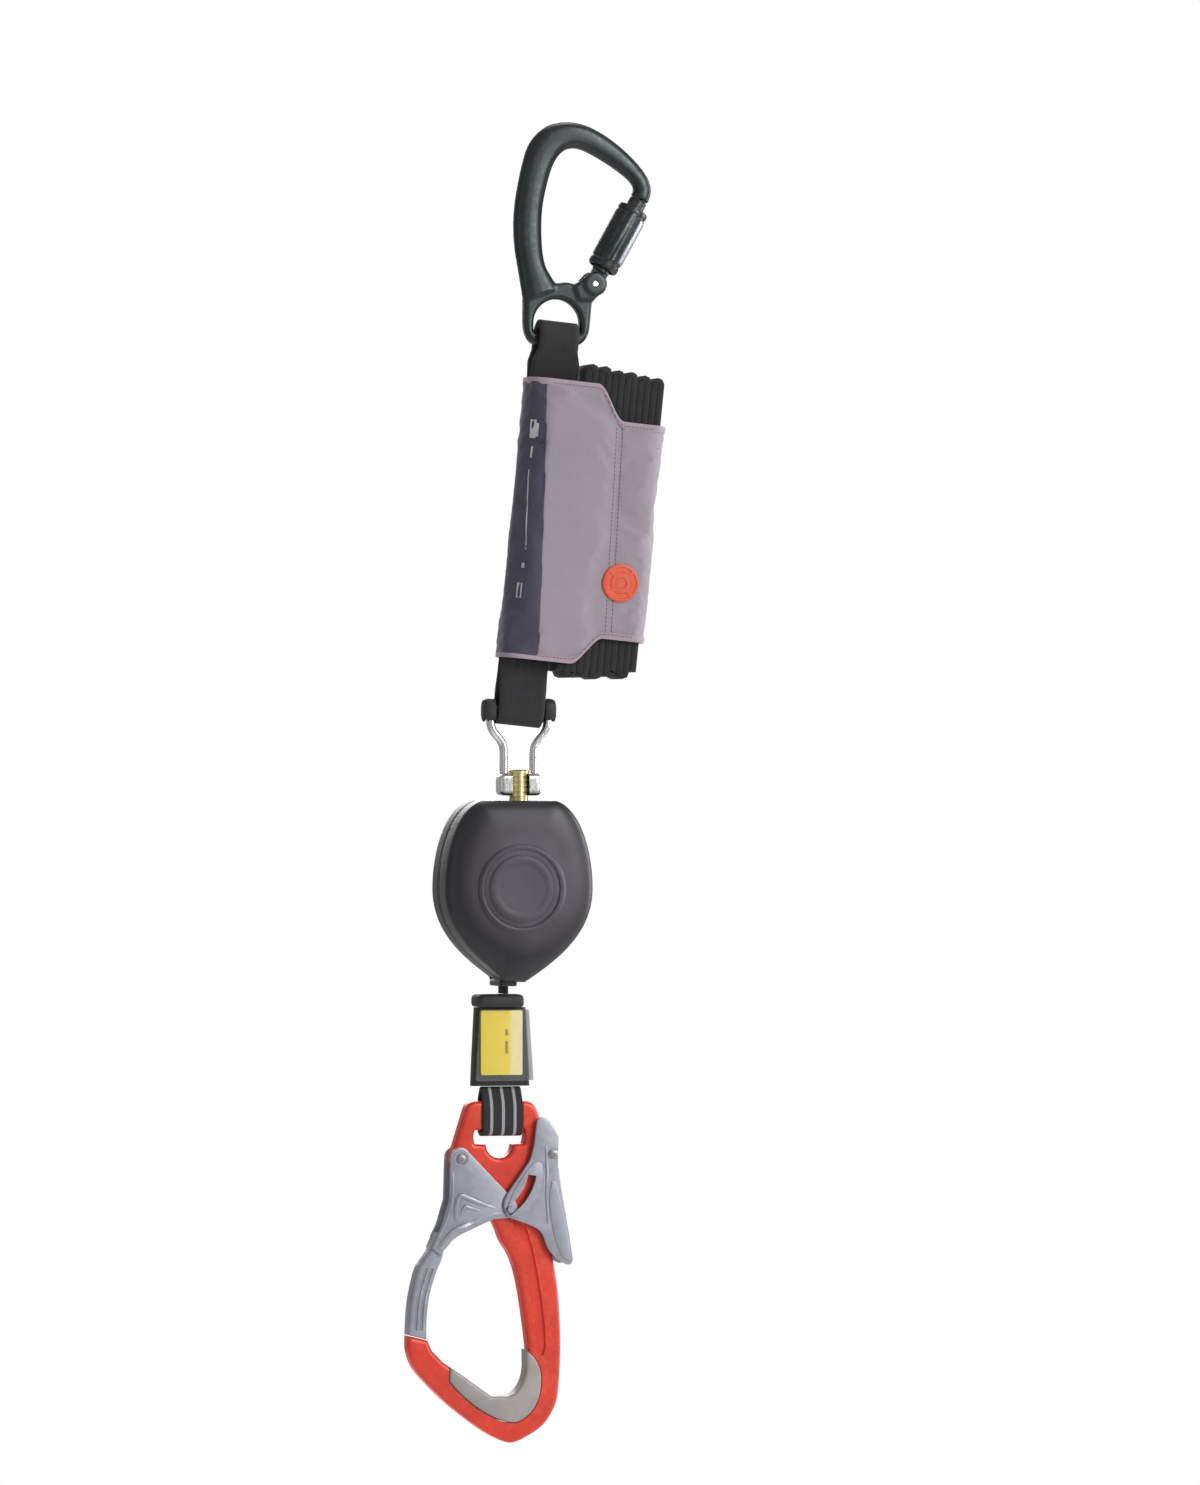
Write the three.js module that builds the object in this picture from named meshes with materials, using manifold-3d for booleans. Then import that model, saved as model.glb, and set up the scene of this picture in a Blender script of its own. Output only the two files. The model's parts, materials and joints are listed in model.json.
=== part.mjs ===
// A compact self retracting lifeline: top carabiner, energy absorber, swivel, retractor and scaffold hook.
// Millimetres, +Z up, the front faces -Y. The origin is the highest point inside the top carabiner, where
// it sits on its anchor. The absorber leans a little, and everything below the swivel hangs plumb.
import * as THREE from 'three';
import { mergeVertices } from 'three/addons/utils/BufferGeometryUtils.js';
import Module from 'manifold-3d';

const wasm = await Module();
wasm.setup();

// ---- Driving dimensions -------------------------------------------------------------------------------

const GAP = 0.3; // between touching pieces

const EYE = { x: -9.5, z: -115 }; // centre of the bar at the bottom of the captive eye
const SWIVEL = { x: -32.5, z: -338 }; // centre of the shackle's cross pin
const DRUM = { x: -36.5, z: -444 }; // the drum's axis, which is the middle of the housing
const NOZZLE_X = -42;
const LINE_X = -45.5; // sleeve, webbing end loop and hook

const CARABINER_THICK = 12;
const EYE_THICK = 9;
const GATE_PIN = { x: 13.8, z: -81.5 };
const GATE_TILT = THREE.MathUtils.degToRad(29.1); // the gate's lean from vertical
const GATE_LENGTH = 58;
const GATE_RADIUS = 5.5;
const SLEEVE_RADIUS = 9.5;

const PACK_THICK = 34;
const PACK_LEFT = -15.3;
const PACK_RIGHT = 69.9;
const COVER_WALL = 1.2;
const STRAP_WIDTH = 31;

const PIN_RADIUS = 3.3;
const BOLT_RADIUS = 5.7;

const HOUSING_FRONT = 17; // depth of the side wall in front of the middle plane
const HOUSING_REAR = 15;
const DOME_FRONT = 7.5;
const DOME_REAR = 5;
const HOUSING_WALL = 2.5;
const LINE_WIDTH = 20; // the lifeline webbing, which leaves the drum edge-on
const LINE_THICK = 1.3;
const COIL_RADIUS = 34.5;
const HUB_RADIUS = 19;
const FLANGE_RADIUS = 36;
const AXLE_RADIUS = 4;
const FRAME_TOP = 45.4; // height of the frame's top plate over the drum's axis
const TOOTH_COUNT = 12;
const TOOTH_INNER = 33.5;

const HOOK_THICK = 12;
const CHEEK = 2.2; // thickness of the gate's cheeks
const GATE_PIVOT = { x: -24.5, z: -16.8 };
const LEVER_PIVOT = { x: 31.7, z: -14.4 };
const LOCK_PIN = { x: 5.6, z: -47.4 };
const GATE_OPENS = THREE.MathUtils.degToRad(30);
const LEVER_RATIO = 0.15; // the lever's turn for each degree of the gate's

// ---- Materials ----------------------------------------------------------------------------------------

const paint = (color, roughness, metalness) =>
  new THREE.MeshStandardMaterial({ color, roughness, metalness });
const blackAluminium = paint(0x34383a, 0.35, 0.9);
const steel = paint(0xb9bbb8, 0.25, 1);
const brass = paint(0xc9b873, 0.3, 1);
const blackWebbing = paint(0x1c1c20, 0.9, 0);
const coverFabric = paint(0x958a95, 0.85, 0);
const panelFabric = paint(0x393748, 0.85, 0);
const badgeRubber = paint(0xdd4a2e, 0.5, 0);
const blackPlastic = paint(0x222026, 0.4, 0);
const redAluminium = paint(0xcf3a2e, 0.35, 0.8);
const greyAlloy = paint(0xa3a5b0, 0.35, 0.9);
const insertAlloy = paint(0xa1968f, 0.5, 0.6);
const labelYellow = paint(0xe6c91f, 0.5, 0);
const clearPlastic = paint(0xb9b6b2, 0.2, 0);

// ---- Solids -------------------------------------------------------------------------------------------

function solid(geometry) {
  const bare = geometry.index ? geometry.clone() : geometry;
  bare.deleteAttribute('normal');
  bare.deleteAttribute('uv');
  const merged = mergeVertices(bare, 1e-4);
  return new wasm.Manifold(
    new wasm.Mesh({
      numProp: 3,
      vertProperties: new Float32Array(merged.attributes.position.array),
      triVerts: new Uint32Array(merged.index.array),
    }),
  );
}

function geometryOf(manifold) {
  const mesh = manifold.getMesh();
  const geometry = new THREE.BufferGeometry();
  geometry.setAttribute('position', new THREE.BufferAttribute(new Float32Array(mesh.vertProperties), 3));
  geometry.setIndex(new THREE.BufferAttribute(new Uint32Array(mesh.triVerts), 1));
  geometry.computeVertexNormals();
  return geometry;
}

const join = (...pieces) => pieces.reduce((sum, piece) => sum.add(piece));
const cut = (piece, ...tools) => tools.reduce((left, tool) => left.subtract(tool), piece);

// An outline drawn in the front view (x to the right, z up), as thick as from y = near to y = far.
function slab(shape, near, far, bevel = 0, curveSegments = 8) {
  const geometry = new THREE.ExtrudeGeometry(shape, {
    depth: far - near - 2 * bevel,
    curveSegments,
    bevelEnabled: bevel > 0,
    bevelThickness: bevel,
    bevelSize: bevel,
    bevelOffset: -bevel,
    bevelSegments: bevel > 1.5 ? 2 : 1,
  });
  return solid(geometry.rotateX(Math.PI / 2).translate(0, far - bevel, 0));
}

// An outline drawn in the side view (y to the right, z up), as wide as from x = left to x = right.
function sideSlab(shape, left, right) {
  const depth = right - left;
  const geometry = new THREE.ExtrudeGeometry(shape, { depth, bevelEnabled: false, curveSegments: 8 });
  const turn = new THREE.Matrix4().set(0, 0, 1, left, 1, 0, 0, 0, 0, 1, 0, 0, 0, 0, 0, 1);
  return solid(geometry.applyMatrix4(turn));
}

// An outline drawn from above (x to the right, y away), from z = low to z = high.
function flatSlab(shape, low, high) {
  const depth = high - low;
  const geometry = new THREE.ExtrudeGeometry(shape, { depth, bevelEnabled: false, curveSegments: 5 });
  return solid(geometry.translate(0, 0, low));
}

function box(x0, x1, y0, y1, z0, z1) {
  const geometry = new THREE.BoxGeometry(x1 - x0, y1 - y0, z1 - z0);
  return solid(geometry.translate((x0 + x1) / 2, (y0 + y1) / 2, (z0 + z1) / 2));
}

// A turned piece. The profile is a list of [radius, height], and its axis is Y.
function turned(profile, segments = 24) {
  return solid(new THREE.LatheGeometry(profile.map(([r, h]) => new THREE.Vector2(r, h)), segments));
}

// A round bar or a tube along Y through (x, z).
function barY(x, z, radius, y0, y1, segments = 20) {
  return turned([[0, y0], [radius, y0], [radius, y1], [0, y1]], segments).translate(x, 0, z);
}

function tubeY(x, z, inner, outer, y0, y1, segments = 24) {
  const profile = [[inner, y0], [outer, y0], [outer, y1], [inner, y1], [inner, y0]];
  return turned(profile, segments).translate(x, 0, z);
}

// The same along X through (y, z), and along Z through (x, y).
const barX = (y, z, radius, x0, x1, segments = 20) =>
  barY(0, 0, radius, x0, x1, segments).rotate(0, 0, -90).translate(0, y, z);
const barZ = (x, y, radius, z0, z1, segments = 20) =>
  barY(0, 0, radius, z0, z1, segments).rotate(90, 0, 0).translate(x, y, 0);

function outline(points) {
  return new THREE.Shape(points.map(([x, y]) => new THREE.Vector2(x, y)));
}

const points2 = (list) => list.map(([x, y]) => new THREE.Vector2(x, y));

function disc(x, z, radius) {
  const shape = new THREE.Shape();
  shape.absarc(x, z, radius, 0, 2 * Math.PI);
  return shape;
}

function roundedBox(x0, x1, y0, y1, leftRadius, rightRadius = leftRadius) {
  const shape = new THREE.Shape();
  shape.absarc(x0 + leftRadius, y0 + leftRadius, leftRadius, Math.PI, 1.5 * Math.PI);
  shape.absarc(x1 - rightRadius, y0 + rightRadius, rightRadius, 1.5 * Math.PI, 2 * Math.PI);
  shape.absarc(x1 - rightRadius, y1 - rightRadius, rightRadius, 0, 0.5 * Math.PI);
  shape.absarc(x0 + leftRadius, y1 - leftRadius, leftRadius, 0.5 * Math.PI, Math.PI);
  return shape;
}

class Helix extends THREE.Curve {
  constructor(radius, length, turns) {
    super();
    Object.assign(this, { radius, length, turns });
  }

  getPoint(t, target = new THREE.Vector3()) {
    const angle = 2 * Math.PI * this.turns * t;
    return target.set(this.radius * Math.cos(angle), this.length * (t - 0.5), this.radius * Math.sin(angle));
  }
}

// A coil spring about the Y axis, centred on the origin.
function coilSpring(radius, length, turns, wire) {
  const section = outline([[wire, 0], [0, wire], [-wire, 0], [0, -wire]]);
  const extrudePath = new Helix(radius, length, turns);
  return solid(new THREE.ExtrudeGeometry(section, { steps: 8 * turns, extrudePath, bevelEnabled: false }));
}

const model = new THREE.Group();

function add(name, piece, material, parent = model) {
  const mesh = new THREE.Mesh(geometryOf(piece), material);
  mesh.name = name;
  parent.add(mesh);
}

function link(x, z, lean = 0) {
  const group = new THREE.Group();
  group.position.set(x, 0, z);
  group.rotation.y = lean;
  model.add(group);
  return group;
}

// ---- Top carabiner ------------------------------------------------------------------------------------

function carabinerFrame() {
  const half = CARABINER_THICK / 2;
  const lugRadius = 7.5;
  const bow = new THREE.Shape();
  bow.moveTo(47.2, -33.1);
  bow.lineTo(49.3, -25.2);
  bow.splineThru(points2([
    [46.3, -16], [36, -4], [22, 7], [8, 14], [-5, 15.6], [-17, 12], [-26.5, 1.5],
    [-32, -17], [-35.4, -38], [-35.4, -57], [-32.6, -75], [-29.8, -92],
  ]));
  bow.lineTo(12.3, -92);
  bow.lineTo(17.5, -85);
  bow.lineTo(10, -77);
  bow.lineTo(2, -83.4);
  bow.splineThru(points2([
    [-7, -82], [-14.5, -75], [-18, -62], [-18.4, -42], [-15.4, -22], [-9.5, -6.5], [0, 0], [11, -3.2],
    [24, -10.5], [34, -18],
  ]));
  bow.lineTo(37.4, -27.7);
  const eye = new THREE.Shape();
  eye.moveTo(-29.8, -86);
  eye.lineTo(-29.8, -106);
  eye.quadraticCurveTo(-29.6, -119, -19, -119);
  eye.lineTo(0, -119);
  eye.quadraticCurveTo(10.9, -119, 11.2, -106);
  eye.lineTo(12.3, -86);
  const opening = new THREE.Shape();
  const innerHalf = 14.4;
  opening.absarc(EYE.x, -105.4, innerHalf, 0, Math.PI);
  opening.lineTo(EYE.x - innerHalf, -109);
  opening.quadraticCurveTo(EYE.x - innerHalf, -111, EYE.x - innerHalf + 2, -111);
  opening.lineTo(EYE.x + innerHalf - 2, -111);
  opening.quadraticCurveTo(EYE.x + innerHalf, -111, EYE.x + innerHalf, -109);
  eye.holes.push(opening);
  return cut(
    join(
      slab(bow, -half, half, 2.6, 2),
      slab(disc(GATE_PIN.x, GATE_PIN.z, 7.5), -half, half, 1.5, 8),
      slab(eye, -EYE_THICK / 2, EYE_THICK / 2, 2, 5),
    ),
    slab(opening, -half, half, 0, 6),
    barY(GATE_PIN.x, GATE_PIN.z, 9.4, -3.3, 3.3, 24),
    barY(GATE_PIN.x, GATE_PIN.z, 2 + GAP, -half, half, 12),
  );
}

// Pieces on the gate are made along Z from the pin, and then leaned.
const onGate = (piece) =>
  piece.rotate(0, THREE.MathUtils.radToDeg(GATE_TILT), 0).translate(GATE_PIN.x, 0, GATE_PIN.z);

function carabinerGate() {
  const barStart = 8.3;
  const boreStart = 12;
  const boreRadius = 2.4;
  const tongue = join(slab(disc(0, 0, 6.8), -2.9, 2.9), box(-5, 5, -2.9, 2.9, 0, 10));
  const bar = cut(barZ(0, 0, GATE_RADIUS, barStart, GATE_LENGTH), barZ(0, 0, boreRadius, boreStart, 60, 12));
  return onGate(cut(join(tongue, bar), barY(0, 0, 2 + GAP, -4, 4, 12)));
}

function twistSleeve() {
  const [low, high, seat] = [10.6, 52, 26];
  const body = turned([
    [GATE_RADIUS + 0.4, low + 14], [GATE_RADIUS + 2.1, low + 14], [GATE_RADIUS + 2.1, low], [8.6, low],
    [SLEEVE_RADIUS, low + 1.2], [SLEEVE_RADIUS, high - 1.2], [8.6, high], [GATE_RADIUS + 0.4, high],
    [GATE_RADIUS + 0.4, low + 14],
  ], 32).rotate(90, 0, 0);
  const flutes = [];
  for (let i = 0; i < 8; i++) {
    const angle = (i * Math.PI) / 4;
    const radius = SLEEVE_RADIUS + 1;
    flutes.push(barZ(radius * Math.cos(angle), radius * Math.sin(angle), 1.8, seat - 9, high - 6, 8));
  }
  return onGate(cut(body, ...flutes));
}

add('carabiner_frame', carabinerFrame(), blackAluminium);
add('carabiner_gate', carabinerGate(), blackAluminium);
add('carabiner_twist_sleeve', twistSleeve(), blackAluminium);
add('carabiner_gate_pin', barY(GATE_PIN.x, GATE_PIN.z, 2, -6.3, 6.3, 12), steel);
const gateCoil = (radius, length, turns, wire, height) =>
  onGate(coilSpring(radius, length, turns, wire).rotate(90, 0, 0).translate(0, 0, height));
add('carabiner_gate_spring', gateCoil(1.5, 12, 5, 0.35, 19), steel);
add('carabiner_sleeve_spring', gateCoil(6.7, 11, 3, 0.4, 17.5), steel);

// ---- Energy absorber, drawn with its own z axis along the load and leaned as a whole ------------------

const packLean = Math.atan2(EYE.x - SWIVEL.x, EYE.z - SWIVEL.z);
const packLength = Math.hypot(EYE.x - SWIVEL.x, EYE.z - SWIVEL.z);
const pack = link(EYE.x, EYE.z, packLean);

// A webbing loop round a bar at the origin, whose two layers meet below it.
function loopProfile(inner, thick, half, foot) {
  const outer = inner + thick;
  const shape = new THREE.Shape();
  shape.absarc(0, 0, outer, 0, Math.PI);
  shape.lineTo(-outer, -4);
  shape.lineTo(-half, -3 * inner - 4);
  shape.lineTo(-half, -foot);
  shape.lineTo(half, -foot);
  shape.lineTo(half, -3 * inner - 4);
  shape.lineTo(outer, -4);
  const hole = new THREE.Path();
  hole.absarc(0, 0, inner, 0, Math.PI);
  hole.lineTo(-inner, -4);
  hole.lineTo(0, -3 * inner - 2);
  hole.lineTo(inner, -4);
  shape.holes.push(hole);
  return shape;
}

function upperLoop() {
  const half = STRAP_WIDTH / 2;
  const narrow = outline([
    [-12, 12], [12, 12], [12, -5], [half, -12], [half, -108], [-12.8, -108], [-12.8, -26], [-half, -22],
    [-half, -12], [-12, -5],
  ]);
  return sideSlab(loopProfile(6.5, 4.5, 6, 108), -half, half).intersect(slab(narrow, -20, 20));
}

function lowerLoop() {
  const half = STRAP_WIDTH / 2;
  const wide = outline([
    [-14, -10], [14, -10], [14, 7], [half, 13], [half, 112], [-12.8, 112], [-12.8, 28], [-half, 24],
    [-half, 13], [-14, 7],
  ]);
  const loop = sideSlab(loopProfile(5, 3.8, 6, 112), -half, half).rotate(180, 0, 0);
  return loop.intersect(slab(wide, -20, 20)).translate(0, 0, -packLength);
}

// The tear webbing lies folded to and fro, so its top and bottom are rows of round folds.
function tearWebbing() {
  const [left, right, folds] = [17, 67, 7];
  const width = (right - left) / folds;
  const shape = new THREE.Shape();
  for (let i = 0; i < folds; i++) {
    shape.absarc(left + width * (i + 0.5), -20 - 0.9 * i, width / 2, Math.PI, 0, true);
  }
  for (let i = folds - 1; i >= 0; i--) {
    shape.absarc(left + width * (i + 0.5), -195 + 0.9 * i, width / 2, 0, Math.PI, true);
  }
  return slab(shape, -13.2, 13.2, 0, 3);
}

// The cover is a flat tube whose right side is cut back at both ends to show the folds.
function coverOutline(grow) {
  const shape = new THREE.Shape();
  shape.moveTo(-40, -24.5);
  shape.lineTo(25, -24.5);
  shape.bezierCurveTo(36, -24.5, 32, -45.5, 43, -45.5);
  shape.lineTo(90, -45.5);
  shape.lineTo(90, -176);
  shape.lineTo(43, -176);
  shape.bezierCurveTo(34, -176, 33, -193, 24, -193);
  shape.lineTo(-40, -193);
  return slab(shape, -30 - grow, 30 + grow, 0, 6);
}

function coverTube(grow, wall) {
  const half = PACK_THICK / 2 + grow;
  const section = roundedBox(PACK_LEFT - grow, PACK_RIGHT + grow, -half, half, 12 + grow, 8 + grow);
  const [left, right] = [PACK_LEFT - grow + wall, PACK_RIGHT + grow - wall];
  section.holes.push(roundedBox(left, right, wall - half, half - wall, 12 + grow - wall, 8 + grow - wall));
  return flatSlab(section, -193, -24.5);
}

function sidePanel() {
  const reach = outline([[-40, -26], [-7, -26], [4, -191.5], [-40, -191.5]]);
  return coverTube(1, 0.7).intersect(slab(reach, -40, 40));
}

function badge() {
  const [x, z] = [50.5, -141.8];
  const y = -PACK_THICK / 2 - GAP;
  return cut(slab(disc(x, z, 11.4), y - 1.4, y, 0.4, 12), tubeY(x, z, 7.2, 8.4, y - 2, y - 1.1));
}

add('upper_webbing_loop', upperLoop(), blackWebbing, pack);
add('lower_webbing_loop', lowerLoop(), blackWebbing, pack);
add('tear_webbing', tearWebbing(), blackWebbing, pack);
add('absorber_cover', coverTube(0, COVER_WALL).intersect(coverOutline(0)), coverFabric, pack);
add('cover_side_panel', sidePanel(), panelFabric, pack);
add('cover_badge', badge(), badgeRubber, pack);

// ---- Shackle and swivel -------------------------------------------------------------------------------

const shackle = link(SWIVEL.x, SWIVEL.z);

function shackleBow() {
  const bow = new THREE.Shape();
  bow.moveTo(-19.8, 3);
  bow.quadraticCurveTo(-19.6, 6, -17.6, 6);
  bow.quadraticCurveTo(-15.6, 6, -15.6, 3);
  bow.lineTo(-15.4, -6);
  bow.bezierCurveTo(-14.5, -13, -6.8, -14, -6.8, -22);
  bow.lineTo(-6.8, -37.5);
  bow.lineTo(6.8, -37.5);
  bow.lineTo(6.8, -22);
  bow.bezierCurveTo(6.8, -14, 14.5, -13, 15.4, -6);
  bow.lineTo(15.6, 3);
  bow.quadraticCurveTo(15.6, 6, 17.6, 6);
  bow.quadraticCurveTo(19.6, 6, 19.8, 3);
  bow.lineTo(19.6, -7);
  bow.bezierCurveTo(18.6, -16, 11.6, -15, 11.6, -24);
  bow.lineTo(11.6, -40);
  bow.lineTo(-11.6, -40);
  bow.lineTo(-11.6, -24);
  bow.bezierCurveTo(-11.6, -15, -18.6, -16, -19.6, -7);
  const foot = roundedBox(-13, 13, -50.5, -37.5, 2.5);
  return cut(
    join(slab(bow, -4.5, 4.5, 1, 4), slab(foot, -6.5, 6.5, 1, 3)),
    barX(0, 0, PIN_RADIUS + GAP, -25, 25, 16),
    barZ(0, 0, BOLT_RADIUS + GAP, -52, -36, 20),
    box(-5.2, 5.2, -8, 0, -52, -36),
  );
}

function crossPin() {
  return join(
    barX(0, 0, PIN_RADIUS, -20.8, 20.8, 16),
    barX(0, 0, 4.8, -21.6, -20.1, 16),
    barX(0, 0, 4.8, 20.1, 21.6, 16),
  );
}

add('shackle_bow', shackleBow(), steel, shackle);
add('shackle_cross_pin', crossPin(), steel, shackle);

// ---- Retractor housing, drawn about the drum's axis ---------------------------------------------------

const housing = link(DRUM.x, DRUM.z);
const swivelX = SWIVEL.x - DRUM.x;
const nozzleX = NOZZLE_X - DRUM.x;
const housingTop = 52.5;
const bossPlaces = [[-25, 41.5], [25, 41.5], [-21, -38.5], [21, -38.5]];

function housingOutline() {
  const shape = new THREE.Shape();
  shape.moveTo(-23, housingTop);
  shape.bezierCurveTo(-38, 48, -45.5, 22, -45.5, 0);
  shape.bezierCurveTo(-45.5, -28, -24, -43, -9, -53.5);
  shape.lineTo(-8, -55.5);
  shape.lineTo(8, -55.5);
  shape.lineTo(9, -53.5);
  shape.bezierCurveTo(24, -43, 45.5, -28, 45.5, 0);
  shape.bezierCurveTo(45.5, 22, 38, 48, 23, housingTop);
  return shape;
}

// A solid of stacked copies of one outline. Each ring is [scale, y].
function stacked(shape, rings) {
  const edge = shape.getPoints(8).slice(0, -1);
  if (THREE.ShapeUtils.area(edge) < 0) edge.reverse();
  const count = edge.length;
  const position = [];
  const index = [];
  for (const [scale, y] of rings) {
    for (const p of edge) position.push(p.x * scale, y, p.y * scale);
  }
  for (let ring = 0; ring + 1 < rings.length; ring++) {
    for (let i = 0; i < count; i++) {
      const a = ring * count + i;
      const b = ring * count + ((i + 1) % count);
      index.push(a, b + count, b, a, a + count, b + count);
    }
  }
  const last = (rings.length - 1) * count;
  for (const [a, b, c] of THREE.ShapeUtils.triangulateShape(edge, [])) {
    index.push(a, b, c, last + a, last + c, last + b);
  }
  const geometry = new THREE.BufferGeometry();
  geometry.setAttribute('position', new THREE.Float32BufferAttribute(position, 3));
  geometry.setIndex(index);
  return solid(geometry);
}

// A half shell from the parting line (y = 0) out to its dome. A negative side faces the front.
function halfShell(side, depth, dome) {
  const shape = housingOutline();
  const domed = (inset) => {
    const rings = [[1 - inset / 45, inset ? -1 : GAP / 2], [1 - inset / 45, depth - inset]];
    for (const angle of [25, 50, 75]) {
      const rise = Math.sin(THREE.MathUtils.degToRad(angle));
      const shrink = 1 - 0.38 * (1 - Math.cos(THREE.MathUtils.degToRad(angle)));
      rings.push([shrink - inset / 45, depth - inset + dome * rise]);
    }
    return stacked(shape, side < 0 ? rings.map(([s, y]) => [s, -y]).reverse() : rings);
  };
  return cut(domed(0), domed(HOUSING_WALL));
}

function openings() {
  return [
    box(nozzleX - 4.9, nozzleX + 4.9, -13.4, 13.4, -60, -40),
    barZ(swivelX, 0, BOLT_RADIUS + GAP, 40, 60, 20),
  ];
}

function frontCover() {
  const face = -HOUSING_FRONT - DOME_FRONT;
  const bosses = bossPlaces.map(([x, z]) => barY(x, z, 4, -HOUSING_FRONT - 1, -GAP, 12));
  const rim = tubeY(0, 0, 23.2, 26.4, face - 0.7, face + 3, 32);
  const centre = tubeY(0, 0, 10, 19.5, face - 0.35, face + 3, 32);
  const shell = halfShell(-1, HOUSING_FRONT, DOME_FRONT);
  const screws = bossPlaces.map(([x, z]) => barY(x, z, 1.6 + GAP, -13, 1, 8));
  return cut(join(shell, rim, centre, ...bosses), ...openings(), ...screws);
}

function rearCover() {
  const bosses = bossPlaces.map(([x, z]) => barY(x, z, 4, GAP, HOUSING_REAR + 1, 12));
  const screws = bossPlaces.map(([x, z]) =>
    join(barY(x, z, 1.6 + GAP, -1, 25, 8), barY(x, z, 3.2 + GAP, HOUSING_REAR - 1, 25, 12)));
  return cut(join(halfShell(1, HOUSING_REAR, DOME_REAR), ...bosses), ...openings(), ...screws);
}

function coverScrew([x, z]) {
  const shank = barY(x, z, 1.6, -12, HOUSING_REAR, 8);
  const head = barY(x, z, 3.2, HOUSING_REAR - 1 + GAP, HOUSING_REAR + 1.4, 12);
  return cut(join(shank, head), slab(disc(x, z, 1.3), HOUSING_REAR + 0.4, 30, 0, 2));
}

// The frame carries the load from the swivel to the axle. Its front plate holds the ratchet teeth.
function mainFrame() {
  const [plateFront, plateRear, plate] = [-15, 13, 1.6];
  const tab = outline([[-14, 20], [14, 20], [14, FRAME_TOP], [-14, FRAME_TOP]]);
  const face = (near, far) => join(slab(disc(0, 0, 37.4), near, far, 0, 12), slab(tab, near, far));
  const teeth = new THREE.Shape();
  for (let i = 0; i < TOOTH_COUNT; i++) {
    const start = (2 * Math.PI * i) / TOOTH_COUNT;
    const step = (2 * Math.PI) / TOOTH_COUNT;
    const at = (radius, share) => {
      const angle = start + share * step;
      return [radius * Math.cos(angle), radius * Math.sin(angle)];
    };
    if (i === 0) teeth.moveTo(...at(TOOTH_INNER, 0));
    teeth.lineTo(...at(TOOTH_INNER, 0.25));
    teeth.lineTo(...at(TOOTH_INNER + 2.6, 0.35));
    teeth.lineTo(...at(TOOTH_INNER + 1.6, 0.95));
    if (i + 1 < TOOTH_COUNT) teeth.lineTo(...at(TOOTH_INNER, 1));
  }
  return cut(
    join(
      face(plateFront - plate, plateFront),
      face(plateRear, plateRear + plate),
      box(-14, 14, plateFront - plate, plateRear + plate, FRAME_TOP - 2.6, FRAME_TOP),
    ),
    slab(teeth, -25, plateFront + 1),
    barY(0, 0, AXLE_RADIUS + GAP, 0, 30, 16),
    barZ(swivelX, 0, 4.5 + GAP, 40, 50, 16),
  );
}

function swivelBolt() {
  const headTop = SWIVEL.z - 37.2 + 2.2 - DRUM.z;
  const shoulder = FRAME_TOP + GAP;
  return join(
    barZ(swivelX, 0, 6.4, headTop - 2.2, headTop, 20),
    barZ(swivelX, 0, BOLT_RADIUS, shoulder, headTop - 1, 20),
    barZ(swivelX, 0, 4.5, FRAME_TOP - 8.4, shoulder + 1, 16),
  );
}

function swivelNut() {
  const hexagon = new THREE.Shape(Array.from({ length: 6 }, (_, i) =>
    new THREE.Vector2(swivelX + 7.6 * Math.cos((i * Math.PI) / 3), 7.6 * Math.sin((i * Math.PI) / 3))));
  const nut = flatSlab(hexagon, FRAME_TOP - 8, FRAME_TOP - 2.6 - GAP);
  return cut(nut, barZ(swivelX, 0, 4.5 + GAP, 30, 50, 16));
}

function nozzle() {
  const body = join(
    slab(roundedBox(nozzleX - 4.5, nozzleX + 4.5, -58.5, -47, 1), -13, 13, 0, 3),
    slab(roundedBox(nozzleX - 5.4, nozzleX + 5.4, -58.5, -56.2, 1), -14, 14, 0, 3),
  );
  return cut(body, box(nozzleX - 1.6, nozzleX + 1.6, -LINE_WIDTH / 2 - 0.6, LINE_WIDTH / 2 + 0.6, -70, -30));
}

// The webbing leaves the coil at a tangent and bends down into the nozzle.
function innerRun() {
  const half = LINE_THICK / 2;
  const shape = outline([
    [-25.3, -26.2], [nozzleX - half, -45.6], [nozzleX - half, -58.3], [nozzleX + half, -58.3],
    [nozzleX + half, -44.8], [-24.2, -27.6 + 2.6],
  ]);
  return slab(shape, -LINE_WIDTH / 2, LINE_WIDTH / 2).subtract(barY(0, 0, COIL_RADIUS + GAP, -20, 20, 48));
}

add('front_cover', frontCover(), blackPlastic, housing);
add('rear_cover', rearCover(), blackPlastic, housing);
bossPlaces.forEach((place, i) => add(`cover_screw_${i + 1}`, coverScrew(place), steel, housing));
add('main_frame', mainFrame(), steel, housing);
add('swivel_bolt', swivelBolt(), brass, housing);
add('swivel_nut', swivelNut(), steel, housing);
add('webbing_nozzle', nozzle(), blackPlastic, housing);
add('lifeline_inner_run', innerRun(), blackWebbing, housing);

function axle() {
  return join(barY(0, 0, AXLE_RADIUS, -18.6, 15, 20), barY(0, 0, AXLE_RADIUS + 2, 15, 16.6, 20));
}

function axleBridge() {
  const strip = roundedBox(-7, 7, -37, 42, 2);
  return slab(strip, -18.4, -16.9, 0, 3).subtract(barY(0, 0, AXLE_RADIUS + GAP, -20, -10, 16));
}

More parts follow.
